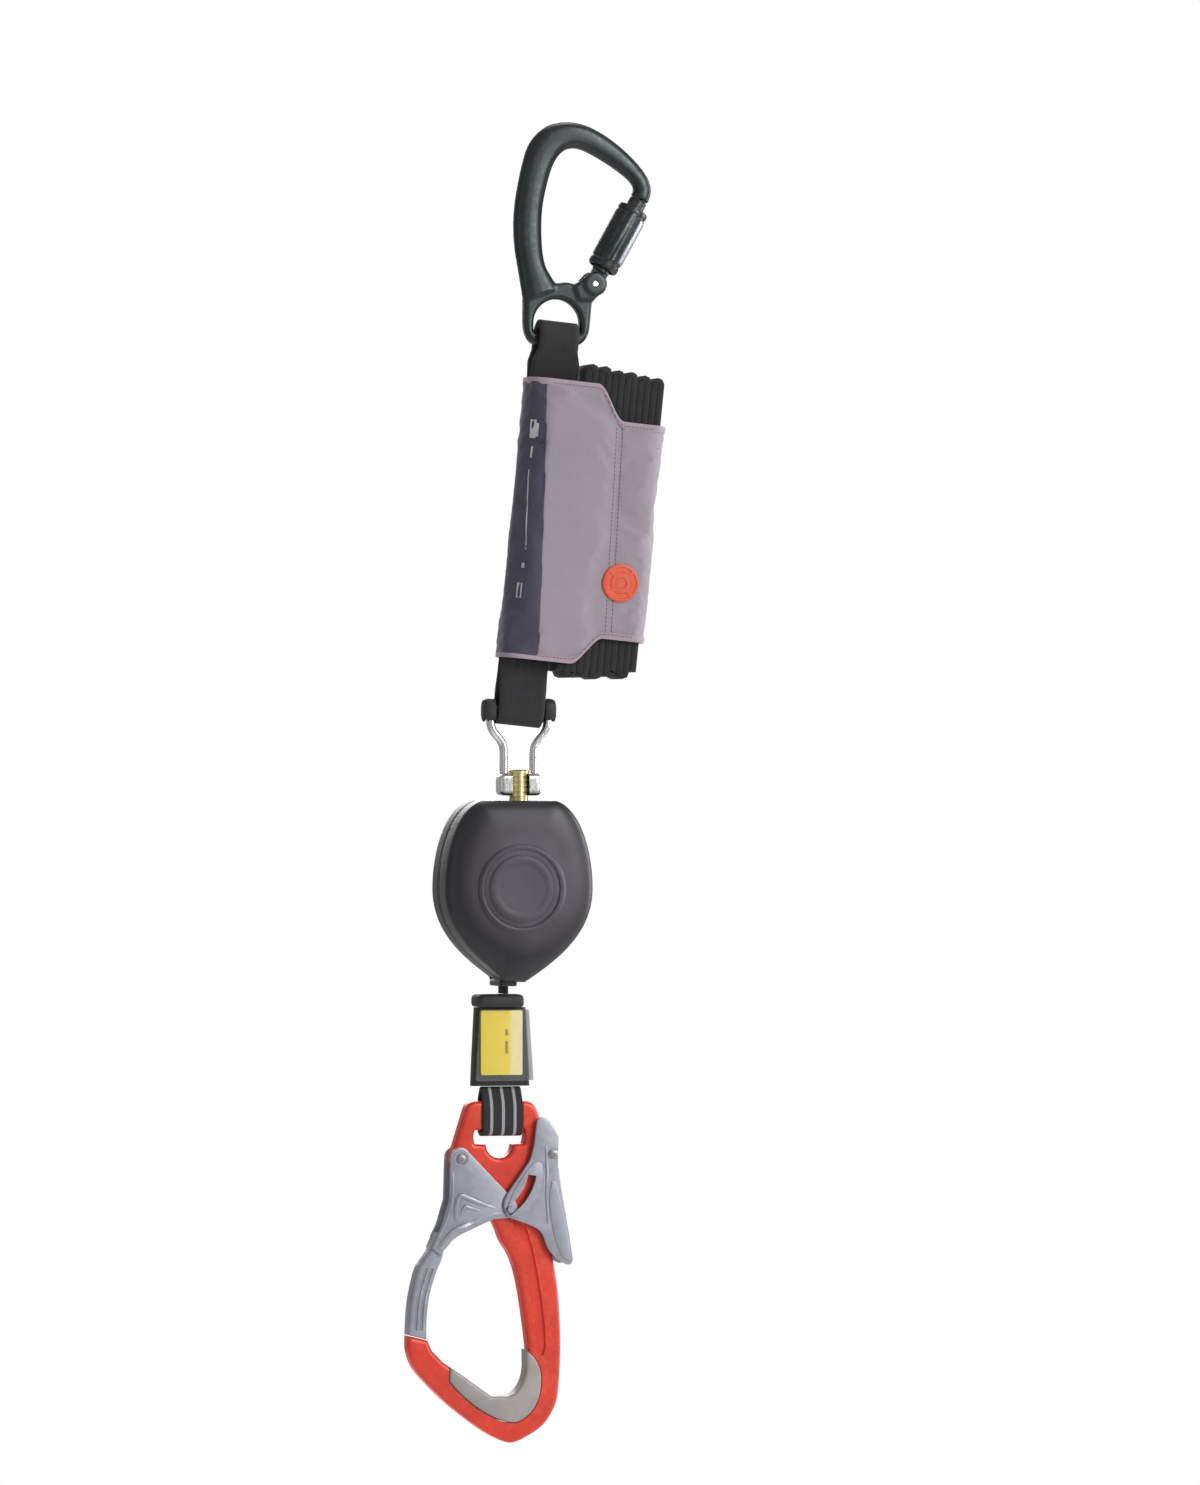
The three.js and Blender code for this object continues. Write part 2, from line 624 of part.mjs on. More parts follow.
// A flat spiral spring between the arbor and the inside of the hub.
function powerSpring() {
  const [turns, start, pitch, thick, perTurn] = [4, 6.3, 2.35, 0.8, 14];
  const spiral = (offset) =>
    Array.from({ length: turns * perTurn + 1 }, (_, i) => {
      const angle = (2 * Math.PI * i) / perTurn;
      const radius = start + (pitch * i) / perTurn + offset;
      return [radius * Math.cos(angle), radius * Math.sin(angle)];
    });
  return slab(outline([...spiral(0), ...spiral(thick).reverse()]), -6, 11.5);
}

add('axle', axle(), steel, housing);
add('axle_bridge', axleBridge(), steel, housing);
add('spring_arbor', tubeY(0, 0, AXLE_RADIUS + GAP, 5.8, -6, 12, 20), steel, housing);
add('power_spring', powerSpring(), steel, housing);

// ---- Drum and pawls -----------------------------------------------------------------------------------

const PAWL_PIN_RADIUS = 20;
const pawlY = [-16.6, -14.6];

function drum() {
  const flangeInner = 12.3;
  const hub = turned([
    [6.4, -flangeInner - 1.4], [FLANGE_RADIUS, -flangeInner - 1.4], [FLANGE_RADIUS, -flangeInner],
    [HUB_RADIUS, -flangeInner], [HUB_RADIUS, 11], [FLANGE_RADIUS, 11], [FLANGE_RADIUS, 12.4],
    [17, 12.4], [17, -7], [6.4, -7], [6.4, -flangeInner - 1.4],
  ], 40);
  const pinHoles = [0, 1].map((i) => barY(...pawlPin(i), 1.6 + GAP, -20, -12, 10));
  return cut(hub, ...pinHoles);
}

const pawlPin = (i) => [PAWL_PIN_RADIUS * (i ? -1 : 1), 0];

// A pawl swings out about its pin, and its tip leads as the line pays out.
function pawl(i) {
  const shape = new THREE.Shape();
  shape.moveTo(23.6, 10);
  shape.lineTo(22.2, 21.2);
  shape.lineTo(19.4, 21.6);
  shape.lineTo(17.6, 12);
  shape.absarc(PAWL_PIN_RADIUS, 0, 4, Math.PI, 2 * Math.PI);
  const body = slab(shape, ...pawlY, 0, 5).subtract(barY(PAWL_PIN_RADIUS, 0, 1.6 + GAP, -20, -10, 10));
  return body.rotate(0, 180 * i, 0);
}

add('drum', drum(), blackPlastic, housing);
add('drum_bush', tubeY(0, 0, AXLE_RADIUS + GAP, 6.1, -13.6, -6.4, 20), brass, housing);
const coil = tubeY(0, 0, HUB_RADIUS + GAP, COIL_RADIUS, -LINE_WIDTH / 2, LINE_WIDTH / 2, 40);
add('webbing_coil', coil, blackWebbing, housing);
[0, 1].forEach((i) => {
  const [x, z] = pawlPin(i);
  add(`pawl_${i + 1}`, pawl(i), steel, housing);
  add(`pawl_pin_${i + 1}`, barY(x, z, 1.6, -16.6, -12.6, 10), steel, housing);
});

// ---- Line end: buffer, stitched sleeve, label and webbing loop ----------------------------------------

const line = link(LINE_X, 0);
const bufferTop = -507.4;
const sleeveTop = -515.2;
const sleeveFoot = -562.2;

function lineStrap() {
  const [from, to] = [DRUM.z - 58.3 - GAP, bufferTop + GAP];
  const x = NOZZLE_X - LINE_X;
  return box(x - LINE_THICK / 2, x + LINE_THICK / 2, -LINE_WIDTH / 2, LINE_WIDTH / 2, to, from);
}

function sleeve() {
  const shape = outline([[-14, sleeveTop], [16.4, sleeveTop], [19, sleeveFoot], [-16.4, sleeveFoot]]);
  return slab(shape, -6.2, 6.2, 1.5);
}

function clearCover() {
  const outer = outline([[-13, sleeveTop - 1], [17.4, sleeveTop - 1], [20.2, sleeveFoot + 3], [-15.4, sleeveFoot + 3]]);
  return slab(outer, -8.3, -7.5);
}

add('lifeline_strap', lineStrap(), blackWebbing, line);
add('stop_buffer', slab(roundedBox(-14, 14, sleeveTop + GAP, bufferTop, 2), -11, 11, 1.5, 3), blackPlastic, line);
add('line_sleeve', sleeve(), blackWebbing, line);
add('information_label', box(-12, 13.6, -7.2, -6.5, -555.6, -517), labelYellow, line);
add('label_cover', clearCover(), clearPlastic, line);

// ---- Scaffold hook, drawn about the middle of the webbing window's top edge ---------------------------

const HOOK_Z = -588.6;
const LOOP_X = 1.5; // the loop lies a little right of the window's middle
const LOOP_HINGE = 21.9; // height over the window's top edge at which the webbing bends
const hook = link(LINE_X, HOOK_Z);
const hookHalf = HOOK_THICK / 2;
const barHalf = 5; // half the thickness of the hook's top bar

function endLoop() {
  const shape = new THREE.Shape();
  shape.absarc(0, LOOP_HINGE, 4, 0, Math.PI);
  shape.lineTo(-8.6, 16);
  shape.lineTo(-8.6, 2);
  shape.quadraticCurveTo(-8.2, -3.8, 0, -3.8);
  shape.quadraticCurveTo(8.2, -3.8, 8.6, 2);
  shape.lineTo(8.6, 16);
  const hole = new THREE.Path();
  hole.moveTo(-5.6, 17.6);
  hole.lineTo(-5.6, 1.2);
  hole.quadraticCurveTo(-5.4, -0.8, -4, -0.8);
  hole.lineTo(4, -0.8);
  hole.quadraticCurveTo(5.4, -0.8, 5.6, 1.2);
  hole.lineTo(5.6, 17.6);
  shape.holes.push(hole);
  return sideSlab(shape, LOOP_X - 12.5, LOOP_X + 12.5);
}

// The nose and the gate's tip meet on an arc about the gate's pivot, so the tip clears the nose as it opens.
const NOSE_LEFT = [-56.6, -122.3];
const throat = [
  [-44.3, -125.3], [-41.6, -131.4], [-34.6, -138.6], [-24, -145.8], [-14, -153], [-5, -159.4],
];

function hookOutline() {
  const shape = new THREE.Shape();
  shape.moveTo(...NOSE_LEFT);
  shape.splineThru(points2([
    [-56.4, -131.4], [-53, -141], [-46, -149.6], [-31.5, -163.6], [-13, -177.8], [0, -185.2], [8, -187.2],
    [17, -183.6], [27, -177], [34, -166.5], [36.6, -155], [37.9, -128], [36.4, -98], [33, -76],
  ]));
  shape.splineThru(points2([[29.5, -50], [29, -24], [28.6, -4], [23, 12.5]]));
  shape.quadraticCurveTo(20.5, 17.4, 13, 17.4);
  shape.lineTo(-13, 17.4);
  shape.quadraticCurveTo(-18.5, 17.4, -21, 12.5);
  shape.lineTo(-25.6, -2);
  shape.lineTo(-29.8, -15.5);
  shape.quadraticCurveTo(-30, -21.5, -25, -22.6);
  shape.lineTo(-19, -33);
  shape.quadraticCurveTo(-8, -45, -2.6, -57);
  shape.splineThru(points2([
    [1, -66], [6, -74], [9.6, -83], [12.6, -96], [15.4, -114], [17.6, -133], [17.4, -147], [15, -156],
    [10.4, -161], [4, -162.4],
  ]));
  shape.lineTo(-1, -161.8);
  throat.slice().reverse().forEach(([x, z]) => shape.lineTo(x, z));
  return shape;
}

// The mushroom-shaped window that the webbing passes through.
function webbingWindow() {
  const shape = new THREE.Shape();
  shape.moveTo(-15, 0);
  shape.lineTo(15, 0);
  shape.quadraticCurveTo(16.6, -4.2, 15, -8.2);
  shape.lineTo(8.4, -8.4);
  shape.absarc(0, -8.6, 8.2, 0, Math.PI, true);
  shape.lineTo(-15, -8.2);
  shape.quadraticCurveTo(-16.6, -4.2, -15, 0);
  return shape;
}

// The replaceable bearing face inside the bowl, drawn as the zone that it takes up.
function insertZone(grow) {
  const shape = new THREE.Shape();
  shape.moveTo(-30.6 - grow, -130);
  shape.lineTo(-31.4 - grow, -150);
  shape.bezierCurveTo(-18 - grow, -166.6 - grow, 0, -176 - grow, 10, -175.4 - grow);
  shape.bezierCurveTo(22, -171.6 - grow, 26.4 + grow, -160, 26 + grow, -148);
  shape.bezierCurveTo(25, -140, 22, -134 + grow, 12, -129 + grow);
  shape.lineTo(0, -120);
  return shape;
}

function hookBody() {
  const lighten = outline([[10, -66], [19, -62], [28.4, -112], [27.4, -122], [23, -120]]);
  return cut(
    slab(hookOutline(), -hookHalf, hookHalf, 1.8, 2),
    slab(webbingWindow(), -10, 10),
    box(LOOP_X - 13.2, LOOP_X + 13.2, -10, -barHalf, -1, 20),
    box(LOOP_X - 13.2, LOOP_X + 13.2, barHalf, 10, -1, 20),
    slab(insertZone(GAP), -10, 10),
    slab(lighten, -10, 1.2 - hookHalf),
    slab(lighten, hookHalf - 1.2, 10),
    barY(GATE_PIVOT.x, GATE_PIVOT.z, 2 + GAP, -10, 10, 12),
    barY(LEVER_PIVOT.x, LEVER_PIVOT.z, 2 + GAP, -10, 10, 12),
    springRoom(),
  );
}

// A slot inside the body, open on its left edge, for the gate's torsion spring.
const springRoom = () => box(-40, -17.4, -3, 3, -26, -8.4);

function insert() {
  const bowl = new THREE.Shape();
  bowl.moveTo(-60, -110);
  throat.forEach(([x, z]) => bowl.lineTo(x, z));
  bowl.lineTo(5, -159.4);
  bowl.splineThru(points2([[9.8, -157], [14, -151.4], [16, -144], [16, -133], [14.4, -120]]));
  bowl.lineTo(13, -100);
  const zone = slab(insertZone(0), -hookHalf - 0.6, hookHalf + 0.6, 0.6, 5);
  return zone.subtract(slab(bowl, -10, 10, 0, 2));
}

// The gate's cheeks straddle the body; its arm lies in the body's plane once it is clear of it.
function hookGate() {
  const [inner, outer] = [6.4, 6.4 + CHEEK];
  const cheek = new THREE.Shape();
  cheek.moveTo(-19.4, -13);
  cheek.splineThru(points2([[-22, -10.4], [-26.6, -10.4], [-30.8, -14], [-31, -21]]));
  cheek.lineTo(-31.8, -41.4);
  cheek.lineTo(-36.2, -56);
  cheek.lineTo(-42.4, -70.2);
  cheek.lineTo(-36.6, -74.6);
  cheek.splineThru(points2([[-33.2, -69.6], [-28, -64], [-17.5, -58.8], [-5, -53.4]]));
  cheek.lineTo(4.4, -52.6);
  cheek.quadraticCurveTo(11, -51, 10.4, -45.6);
  cheek.lineTo(7.6, -41.6);
  const arm = new THREE.Shape();
  arm.moveTo(-33, -61);
  arm.lineTo(-38, -62);
  arm.lineTo(-42.4, -70.2);
  arm.splineThru(points2([[-51.1, -84.6], [-55, -102.6], [-56.4, -121.8]]));
  arm.lineTo(-45.2, -124.5);
  arm.splineThru(points2([[-45, -112], [-43.2, -98], [-39.2, -84.6], [-35.6, -76]]));
  const faces = [slab(cheek, -outer, -inner, 0.7, 3), slab(cheek, inner, outer, 0.7, 3)];
  const studs = [-1, 1].map((side) => {
    const ends = [side * (inner + 0.7), side * 11.6].sort((a, b) => a - b);
    return barY(LOCK_PIN.x, LOCK_PIN.z, 2.2, ...ends, 12);
  });
  return cut(
    join(...faces, slab(arm, -6.5, 6.5, 1.2, 3), ...studs),
    barY(GATE_PIVOT.x, GATE_PIVOT.z, 2 + GAP, -10, 10, 12),
  );
}

// Where the gate's stud is, in the lever's own frame, when the gate has opened by an angle.
function studPath(angle) {
  const turn = (point, centre, by) => {
    const [x, z] = [point.x - centre.x, point.z - centre.z];
    return {
      x: centre.x + x * Math.cos(by) - z * Math.sin(by),
      z: centre.z + x * Math.sin(by) + z * Math.cos(by),
    };
  };
  return turn(turn(LOCK_PIN, GATE_PIVOT, angle), LEVER_PIVOT, angle * LEVER_RATIO);
}

function lockLever() {
  const [inner, outer] = [9, 11];
  const side = new THREE.Shape();
  side.moveTo(21.8, 5);
  side.quadraticCurveTo(26, 10.6, 30, 4.4);
  side.lineTo(35.4, -4.2);
  side.lineTo(34.8, -21.6);
  side.lineTo(39.2, -49);
  side.lineTo(44.1, -78.6);
  side.lineTo(40.4, -81);
  side.splineThru(points2([[33.6, -77.4], [28, -70.2], [24.3, -61.2], [17.4, -57], [5.6, -52.8]]));
  side.quadraticCurveTo(-0.6, -46, 3.1, -38.4);
  side.splineThru(points2([[10.6, -27.6], [17.4, -17.4], [20.4, -6]]));
  const back = outline([
    [35.2, -24], [39.2, -49], [44.1, -78.6], [41, -80.6], [39.5, -79.8], [37.6, -60], [32.8, -27],
  ]);
  const slots = [];
  for (let i = -1; i <= 8; i++) {
    const { x, z } = studPath((GATE_OPENS * i) / 7);
    slots.push(barY(x, z, 2.7, -20, 20, 14));
  }
  return cut(
    join(slab(side, -outer, -inner, 0.6, 3), slab(side, inner, outer, 0.6, 3), slab(back, -10, 10)),
    ...slots,
    barY(LEVER_PIVOT.x, LEVER_PIVOT.z, 2 + GAP, -20, 20, 12),
  );
}

function rivet({ x, z }, reach) {
  const head = 1.2;
  return join(
    barY(x, z, 2, -reach - GAP, reach + GAP, 12),
    barY(x, z, 3.4, -reach - GAP - head, -reach - GAP, 14),
    barY(x, z, 3.4, reach + GAP, reach + GAP + head, 14),
  );
}

function gateSpring() {
  return coilSpring(3.2, 4.4, 4, 0.4).translate(GATE_PIVOT.x, 0, GATE_PIVOT.z);
}

add('end_webbing_loop', endLoop(), blackWebbing, hook);
add('hook_body', hookBody(), redAluminium, hook);
add('hook_bowl_insert', insert(), insertAlloy, hook);
add('hook_gate', hookGate(), greyAlloy, hook);
add('hook_lock_lever', lockLever(), greyAlloy, hook);
add('hook_gate_rivet', rivet(GATE_PIVOT, 6.4 + CHEEK), steel, hook);
add('hook_lever_rivet', rivet(LEVER_PIVOT, 11), steel, hook);
add('hook_gate_spring', gateSpring(), steel, hook);

export default model;
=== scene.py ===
import json
import math

import bmesh
import bpy
from mathutils import Matrix, Vector, noise
from mathutils.bvhtree import BVHTree


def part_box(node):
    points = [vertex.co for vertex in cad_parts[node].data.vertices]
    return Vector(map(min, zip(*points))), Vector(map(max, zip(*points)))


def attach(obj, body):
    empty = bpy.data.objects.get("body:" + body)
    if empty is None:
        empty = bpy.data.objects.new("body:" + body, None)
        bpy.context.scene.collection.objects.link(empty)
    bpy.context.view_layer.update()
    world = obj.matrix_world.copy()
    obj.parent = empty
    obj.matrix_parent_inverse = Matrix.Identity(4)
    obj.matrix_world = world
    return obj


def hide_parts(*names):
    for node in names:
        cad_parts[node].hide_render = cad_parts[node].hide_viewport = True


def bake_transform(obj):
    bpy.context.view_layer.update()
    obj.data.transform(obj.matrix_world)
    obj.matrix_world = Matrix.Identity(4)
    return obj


# The looks of a compact self retracting lifeline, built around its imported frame.
# Lengths are millimetres unless a name says otherwise, and MM turns them into metres.

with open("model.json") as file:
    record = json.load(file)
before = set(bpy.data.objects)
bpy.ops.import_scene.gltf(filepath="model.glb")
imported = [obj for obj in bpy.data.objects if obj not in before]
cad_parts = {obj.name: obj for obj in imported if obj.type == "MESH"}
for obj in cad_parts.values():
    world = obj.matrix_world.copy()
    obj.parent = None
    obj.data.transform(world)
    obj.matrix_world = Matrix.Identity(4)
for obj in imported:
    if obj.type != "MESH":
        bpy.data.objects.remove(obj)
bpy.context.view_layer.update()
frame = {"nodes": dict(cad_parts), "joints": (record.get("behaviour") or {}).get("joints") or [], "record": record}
MM = 0.001

pivot = {joint["name"]: Vector(joint["pos_m"]) for joint in frame["joints"] if "pos_m" in joint}
gate_axis = next(Vector(j["axis"]) for j in frame["joints"] if j["name"] == "sleeve_twist").normalized()

EYE = pivot["absorber_swing"]
CROSS_PIN = pivot["shackle_swing"]
DRUM = pivot["drum_spin"]
GATE_PIN = pivot["carabiner_gate_hinge"]
LOOP_HINGE = pivot["hook_swing"]
LEAN = math.atan2(EYE.x - CROSS_PIN.x, EYE.z - CROSS_PIN.z)
HOOK_DROP = 21.9  # from the loop's hinge down to the top edge of the hook's window
LOOP_SHIFT = 1.5  # the loop lies this far right of the window's middle

# Each link's own frame: its origin in the row frame, and the absorber's lean.
TOP = Matrix.Identity(4)
PACK = Matrix.Translation(EYE) @ Matrix.Rotation(LEAN, 4, "Y")
SHACKLE = Matrix.Translation(CROSS_PIN)
HOUSING = Matrix.Translation((DRUM.x, 0, DRUM.z))
LINE = Matrix.Translation((LOOP_HINGE.x - LOOP_SHIFT * MM, 0, 0))
HOOK = Matrix.Translation((LOOP_HINGE.x - LOOP_SHIFT * MM, 0, LOOP_HINGE.z - HOOK_DROP * MM))
GATE = Matrix.Translation(GATE_PIN) @ Vector((0, 0, 1)).rotation_difference(gate_axis).to_matrix().to_4x4()
PACK_LENGTH = (EYE - CROSS_PIN).length / MM


# ---- Outlines -----------------------------------------------------------------------------------------


def through(points, steps):
    """A smooth run of points through the given ones."""
    knots = [Vector(p) for p in points]
    knots = [2 * knots[0] - knots[1], *knots, 2 * knots[-1] - knots[-2]]
    run = []
    for a, b, c, d in zip(knots, knots[1:], knots[2:], knots[3:]):
        for k in range(steps):
            t = k / steps
            square, cube = 2 * a - 5 * b + 4 * c - d, 3 * b - a - 3 * c + d
            run.append(0.5 * (2 * b + (c - a) * t + square * t**2 + cube * t**3))
    return run + [knots[-2]]


def arc(x, z, radius, start, end, steps=12):
    """Points on an arc, with its angles in degrees."""
    angles = [math.radians(start + (end - start) * k / steps) for k in range(steps + 1)]
    return [Vector((x + radius * math.cos(a), z + radius * math.sin(a))) for a in angles]


def bezier(a, b, c, d, steps):
    a, b, c, d = Vector(a), Vector(b), Vector(c), Vector(d)
    ts = [k / steps for k in range(steps + 1)]
    return [a * (1 - t) ** 3 + 3 * b * t * (1 - t) ** 2 + 3 * c * t * t * (1 - t) + d * t**3 for t in ts]


def rounded(points, radius, steps=4):
    """A closed outline with its corners rounded."""
    ring = []
    for i, point in enumerate(points):
        corner, before, after = Vector(point), Vector(points[i - 1]), Vector(points[(i + 1) % len(points)])
        cut = min(radius, 0.45 * (before - corner).length, 0.45 * (after - corner).length)
        start = corner + (before - corner).normalized() * cut
        end = corner + (after - corner).normalized() * cut
        for k in range(steps + 1):
            t = k / steps
            ring.append(start * (1 - t) ** 2 + 2 * corner * t * (1 - t) + end * t * t)
    return ring


def rectangle(x0, x1, z0, z1, radius):
    return rounded([(x0, z0), (x1, z0), (x1, z1), (x0, z1)], radius)


# ---- Meshes -------------------------------------------------------------------------------------------


def finish_mesh(obj, angle=35):
    """Points the faces outwards and shades them smooth up to an angle."""
    mesh = obj.data
    work = bmesh.new()
    work.from_mesh(mesh)
    bmesh.ops.remove_doubles(work, verts=work.verts, dist=1e-6)
    bmesh.ops.recalc_face_normals(work, faces=work.faces)
    work.to_mesh(mesh)
    work.free()
    mesh.shade_smooth()
    mesh.set_sharp_from_angle(angle=math.radians(angle))
    return obj


def from_mesh(name, mesh):
    obj = bpy.data.objects.new(name, mesh)
    bpy.context.scene.collection.objects.link(obj)
    return obj


def build(name, points, faces, place, angle=35):
    mesh = bpy.data.meshes.new(name)
    mesh.from_pydata([place @ (Vector(p) * MM) for p in points], [], faces)
    return finish_mesh(from_mesh(name, mesh), angle)


def evaluated(obj):
    """The object's mesh with its modifiers applied."""
    return bpy.data.meshes.new_from_object(obj.evaluated_get(bpy.context.evaluated_depsgraph_get()))


def apply_modifiers(obj):
    mesh = evaluated(obj)
    obj.modifiers.clear()
    obj.data = mesh
    return obj


def plate(name, outline, near, far, bevel, holes, rounds, place=TOP):
    """A flat piece drawn in the front view, with round edges, from y = near to y = far."""
    curve = bpy.data.curves.new(name, "CURVE")
    curve.dimensions = "2D"
    curve.fill_mode = "BOTH"
    curve.extrude = ((far - near) / 2 - bevel) * MM
    curve.bevel_depth = bevel * MM
    curve.bevel_resolution = rounds
    curve.offset = -bevel * MM
    for ring in (outline, *holes):
        spline = curve.splines.new("POLY")
        spline.points.add(len(ring) - 1)
        for point, (x, z) in zip(spline.points, ring):
            point.co = (x * MM, z * MM, 0, 1)
        spline.use_cyclic_u = True
    holder = from_mesh(name + "_outline", curve)
    mesh = evaluated(holder)
    bpy.data.objects.remove(holder)
    middle = place @ Matrix.Translation((0, (near + far) / 2 * MM, 0))
    mesh.transform(middle @ Matrix.Rotation(math.pi / 2, 4, "X"))
    mesh.name = name
    return finish_mesh(from_mesh(name, mesh))


def loft(name, rings, place=TOP, closed=False, angle=35):
    """A skin over closed rings of equally many points."""
    count = len(rings[0])
    points = [p for ring in rings for p in ring]
    faces = []
    spans = len(rings) if closed else len(rings) - 1
    for r in range(spans):
        a, b = r * count, (r + 1) % len(rings) * count
        faces += [(a + i, a + (i + 1) % count, b + (i + 1) % count, b + i) for i in range(count)]
    if not closed:
        faces += [tuple(range(count)), tuple(range(len(points) - count, len(points)))]
    return build(name, points, faces, place, angle)


def turned(name, profile, place=TOP, segments=48, angle=35):
    """A turned piece about Z from (radius, height) points. The profile closes on itself or on the axis."""
    rings = []
    for k in range(segments):
        a = 2 * math.pi * k / segments
        rings.append([(r * math.cos(a), r * math.sin(a), h) for r, h in profile])
    return loft(name, rings, place, closed=True, angle=angle)


def bore(radius, reach, place, segments=24):
    """A round cutter about Z that reaches as far both ways."""
    return turned("bore", [(0, -reach), (radius, -reach), (radius, reach), (0, reach)], place, segments)


ALONG_Y = Matrix.Rotation(-math.pi / 2, 4, "X")  # turns a piece's Z axis to +Y
ALONG_X = Matrix.Rotation(math.pi / 2, 4, "Y")  # turns a piece's Z axis to +X


def spot(x, z):
    return Matrix.Translation((x * MM, 0, z * MM))


def heading(path, i):
    """The way a path runs at its point i."""
    return (path[min(i + 1, len(path) - 1)] - path[max(i - 1, 0)]).normalized()


def sweep(name, path, section, place):
    """A section of (across, towards Y) points carried along a path in 3D."""
    path = [Vector(p) for p in path]
    rings = []
    for i, point in enumerate(path):
        ahead = heading(path, i)
        across = ahead.cross(Vector((0, 1, 0))).normalized()
        up = across.cross(ahead).normalized()
        rings.append([point + across * a + up * b for a, b in section])
    return loft(name, rings, place)


def ellipse(a, b, steps, power=1.0):
    """Points round an ellipse. A power under 1 squares it up."""
    def bend(value):
        return math.copysign(abs(value) ** power, value)

    angles = [2 * math.pi * k / steps for k in range(steps)]
    return [(a * bend(math.cos(t)), b * bend(math.sin(t))) for t in angles]


def combine(obj, others, operation):
    for other in others:
        modifier = obj.modifiers.new("combine", "BOOLEAN")
        modifier.operation = operation
        modifier.solver = "EXACT"
        modifier.object = other
        apply_modifiers(obj)
        bpy.data.objects.remove(other)
    return finish_mesh(obj)


def carve(obj, *cutters):
    return combine(obj, cutters, "DIFFERENCE")


def even_normals(obj):
    """Lets the big flat faces lead the shading of their round edges."""
    weighted = obj.modifiers.new("even", "WEIGHTED_NORMAL")
    weighted.keep_sharp = True
    weighted.weight = 90
    return apply_modifiers(obj)


def merge(name, *objects):
    """One object holding several separate bodies."""
    work = bmesh.new()
    for obj in objects:
        work.from_mesh(obj.data)
    mesh = bpy.data.meshes.new(name)
    work.to_mesh(mesh)
    work.free()
    for obj in objects:
        bpy.data.objects.remove(obj)
    merged = from_mesh(name, mesh)
    mesh.shade_smooth()
    mesh.set_sharp_from_angle(angle=math.radians(35))
    return merged


def forge(obj, voxel, smoothing):
    """Melts joined bodies into one skin with soft fillets."""
    remesh = obj.modifiers.new("forge", "REMESH")
    remesh.mode = "VOXEL"
    remesh.voxel_size = voxel * MM
    remesh.use_smooth_shade = True
    smooth = obj.modifiers.new("soften", "SMOOTH")
    smooth.factor = 0.5
    smooth.iterations = smoothing
    apply_modifiers(obj)
    obj.data.shade_smooth()
    return obj


def set_attribute(obj, values):
    """Stores each vertex's place on the cloth (across, along) in metres for the weave."""
    layer = obj.data.attributes.new("cloth", "FLOAT_VECTOR", "POINT")
    for item, (across, along) in zip(layer.data, values):
        item.vector = (across * MM, along * MM, 0)


def woven(name, rings, cloth, place):
    """A strap's skin with its place on the cloth, unless some of its points were merged."""
    obj = loft(name, rings, place, angle=60)
    if len(obj.data.vertices) == len(cloth):
        set_attribute(obj, cloth)
    return obj


def webbing(name, path, half_width, thickness, place, centre=0.0, plies=1):
    """A flat strap whose middle follows (y, z) points. Its half width is a function of the length so far."""
    points = [Vector(p) for p in path]
    rings, cloth, length = [], [], 0.0
    steps = 3 * plies
    for i, point in enumerate(points):
        if i:
            length += (point - points[i - 1]).length
        ahead = heading(points, i)
        normal = Vector((ahead.y, -ahead.x))
        wide, thick = half_width(length), thickness / 2
        section = []
        for sign in (1, -1):
            for k in range(steps + 1):
                depth = thick * (1 - 2 * k / steps) * sign
                ply = abs(math.sin(math.pi * plies * (k / steps)))
                section.append((sign * (wide - 0.5 + 0.5 * ply), depth))
            inner = [w * wide for w in (0.75, 0.4, 0.0, -0.4, -0.75)]
            section += [(sign * w, -thick * sign) for w in inner]
        rings.append([(centre + x, point.x + normal.x * d, point.y + normal.y * d) for x, d in section])
        cloth += [(x, length) for x, _ in section]
    return woven(name, rings, cloth, place)


def stitches(name, runs, size, place):
    """Rows of thread stitches. Each run is a list of 3D points, one stitch between each two."""
    points, faces = [], []
    for run in runs:
        for a, b in zip(run, run[1:]):
            a, b = Vector(a), Vector(b)
            ahead = b - a
            middle, reach = (a + b) / 2, ahead.length * 0.36
            ahead.normalize()
            side = ahead.orthogonal().normalized()
            other = ahead.cross(side)
            base = len(points)
            for along, wide in ((-1, 0.35), (-0.6, 1), (0.6, 1), (1, 0.35)):
                for k in range(6):
                    angle = math.pi * k / 3
                    turn = side * math.cos(angle) + other * math.sin(angle)
                    points.append(middle + ahead * along * reach + turn * wide * size / 2)
            for ring in range(3):
                for k in range(6):
                    n = (k + 1) % 6
                    first, second = base + ring * 6, base + ring * 6 + 6
                    faces.append((first + k, first + n, second + n, second + k))
            faces += [tuple(base + k for k in range(6)), tuple(base + 18 + k for k in range(6))]
    return build(name, points, faces, place, 80)


def dashes(start, end, length):
    """Points along a line, about a stitch apart."""
    start, end = Vector(start), Vector(end)
    count = max(1, round((end - start).length / length))
    return [start.lerp(end, k / count) for k in range(count + 1)]


# ---- Materials ----------------------------------------------------------------------------------------


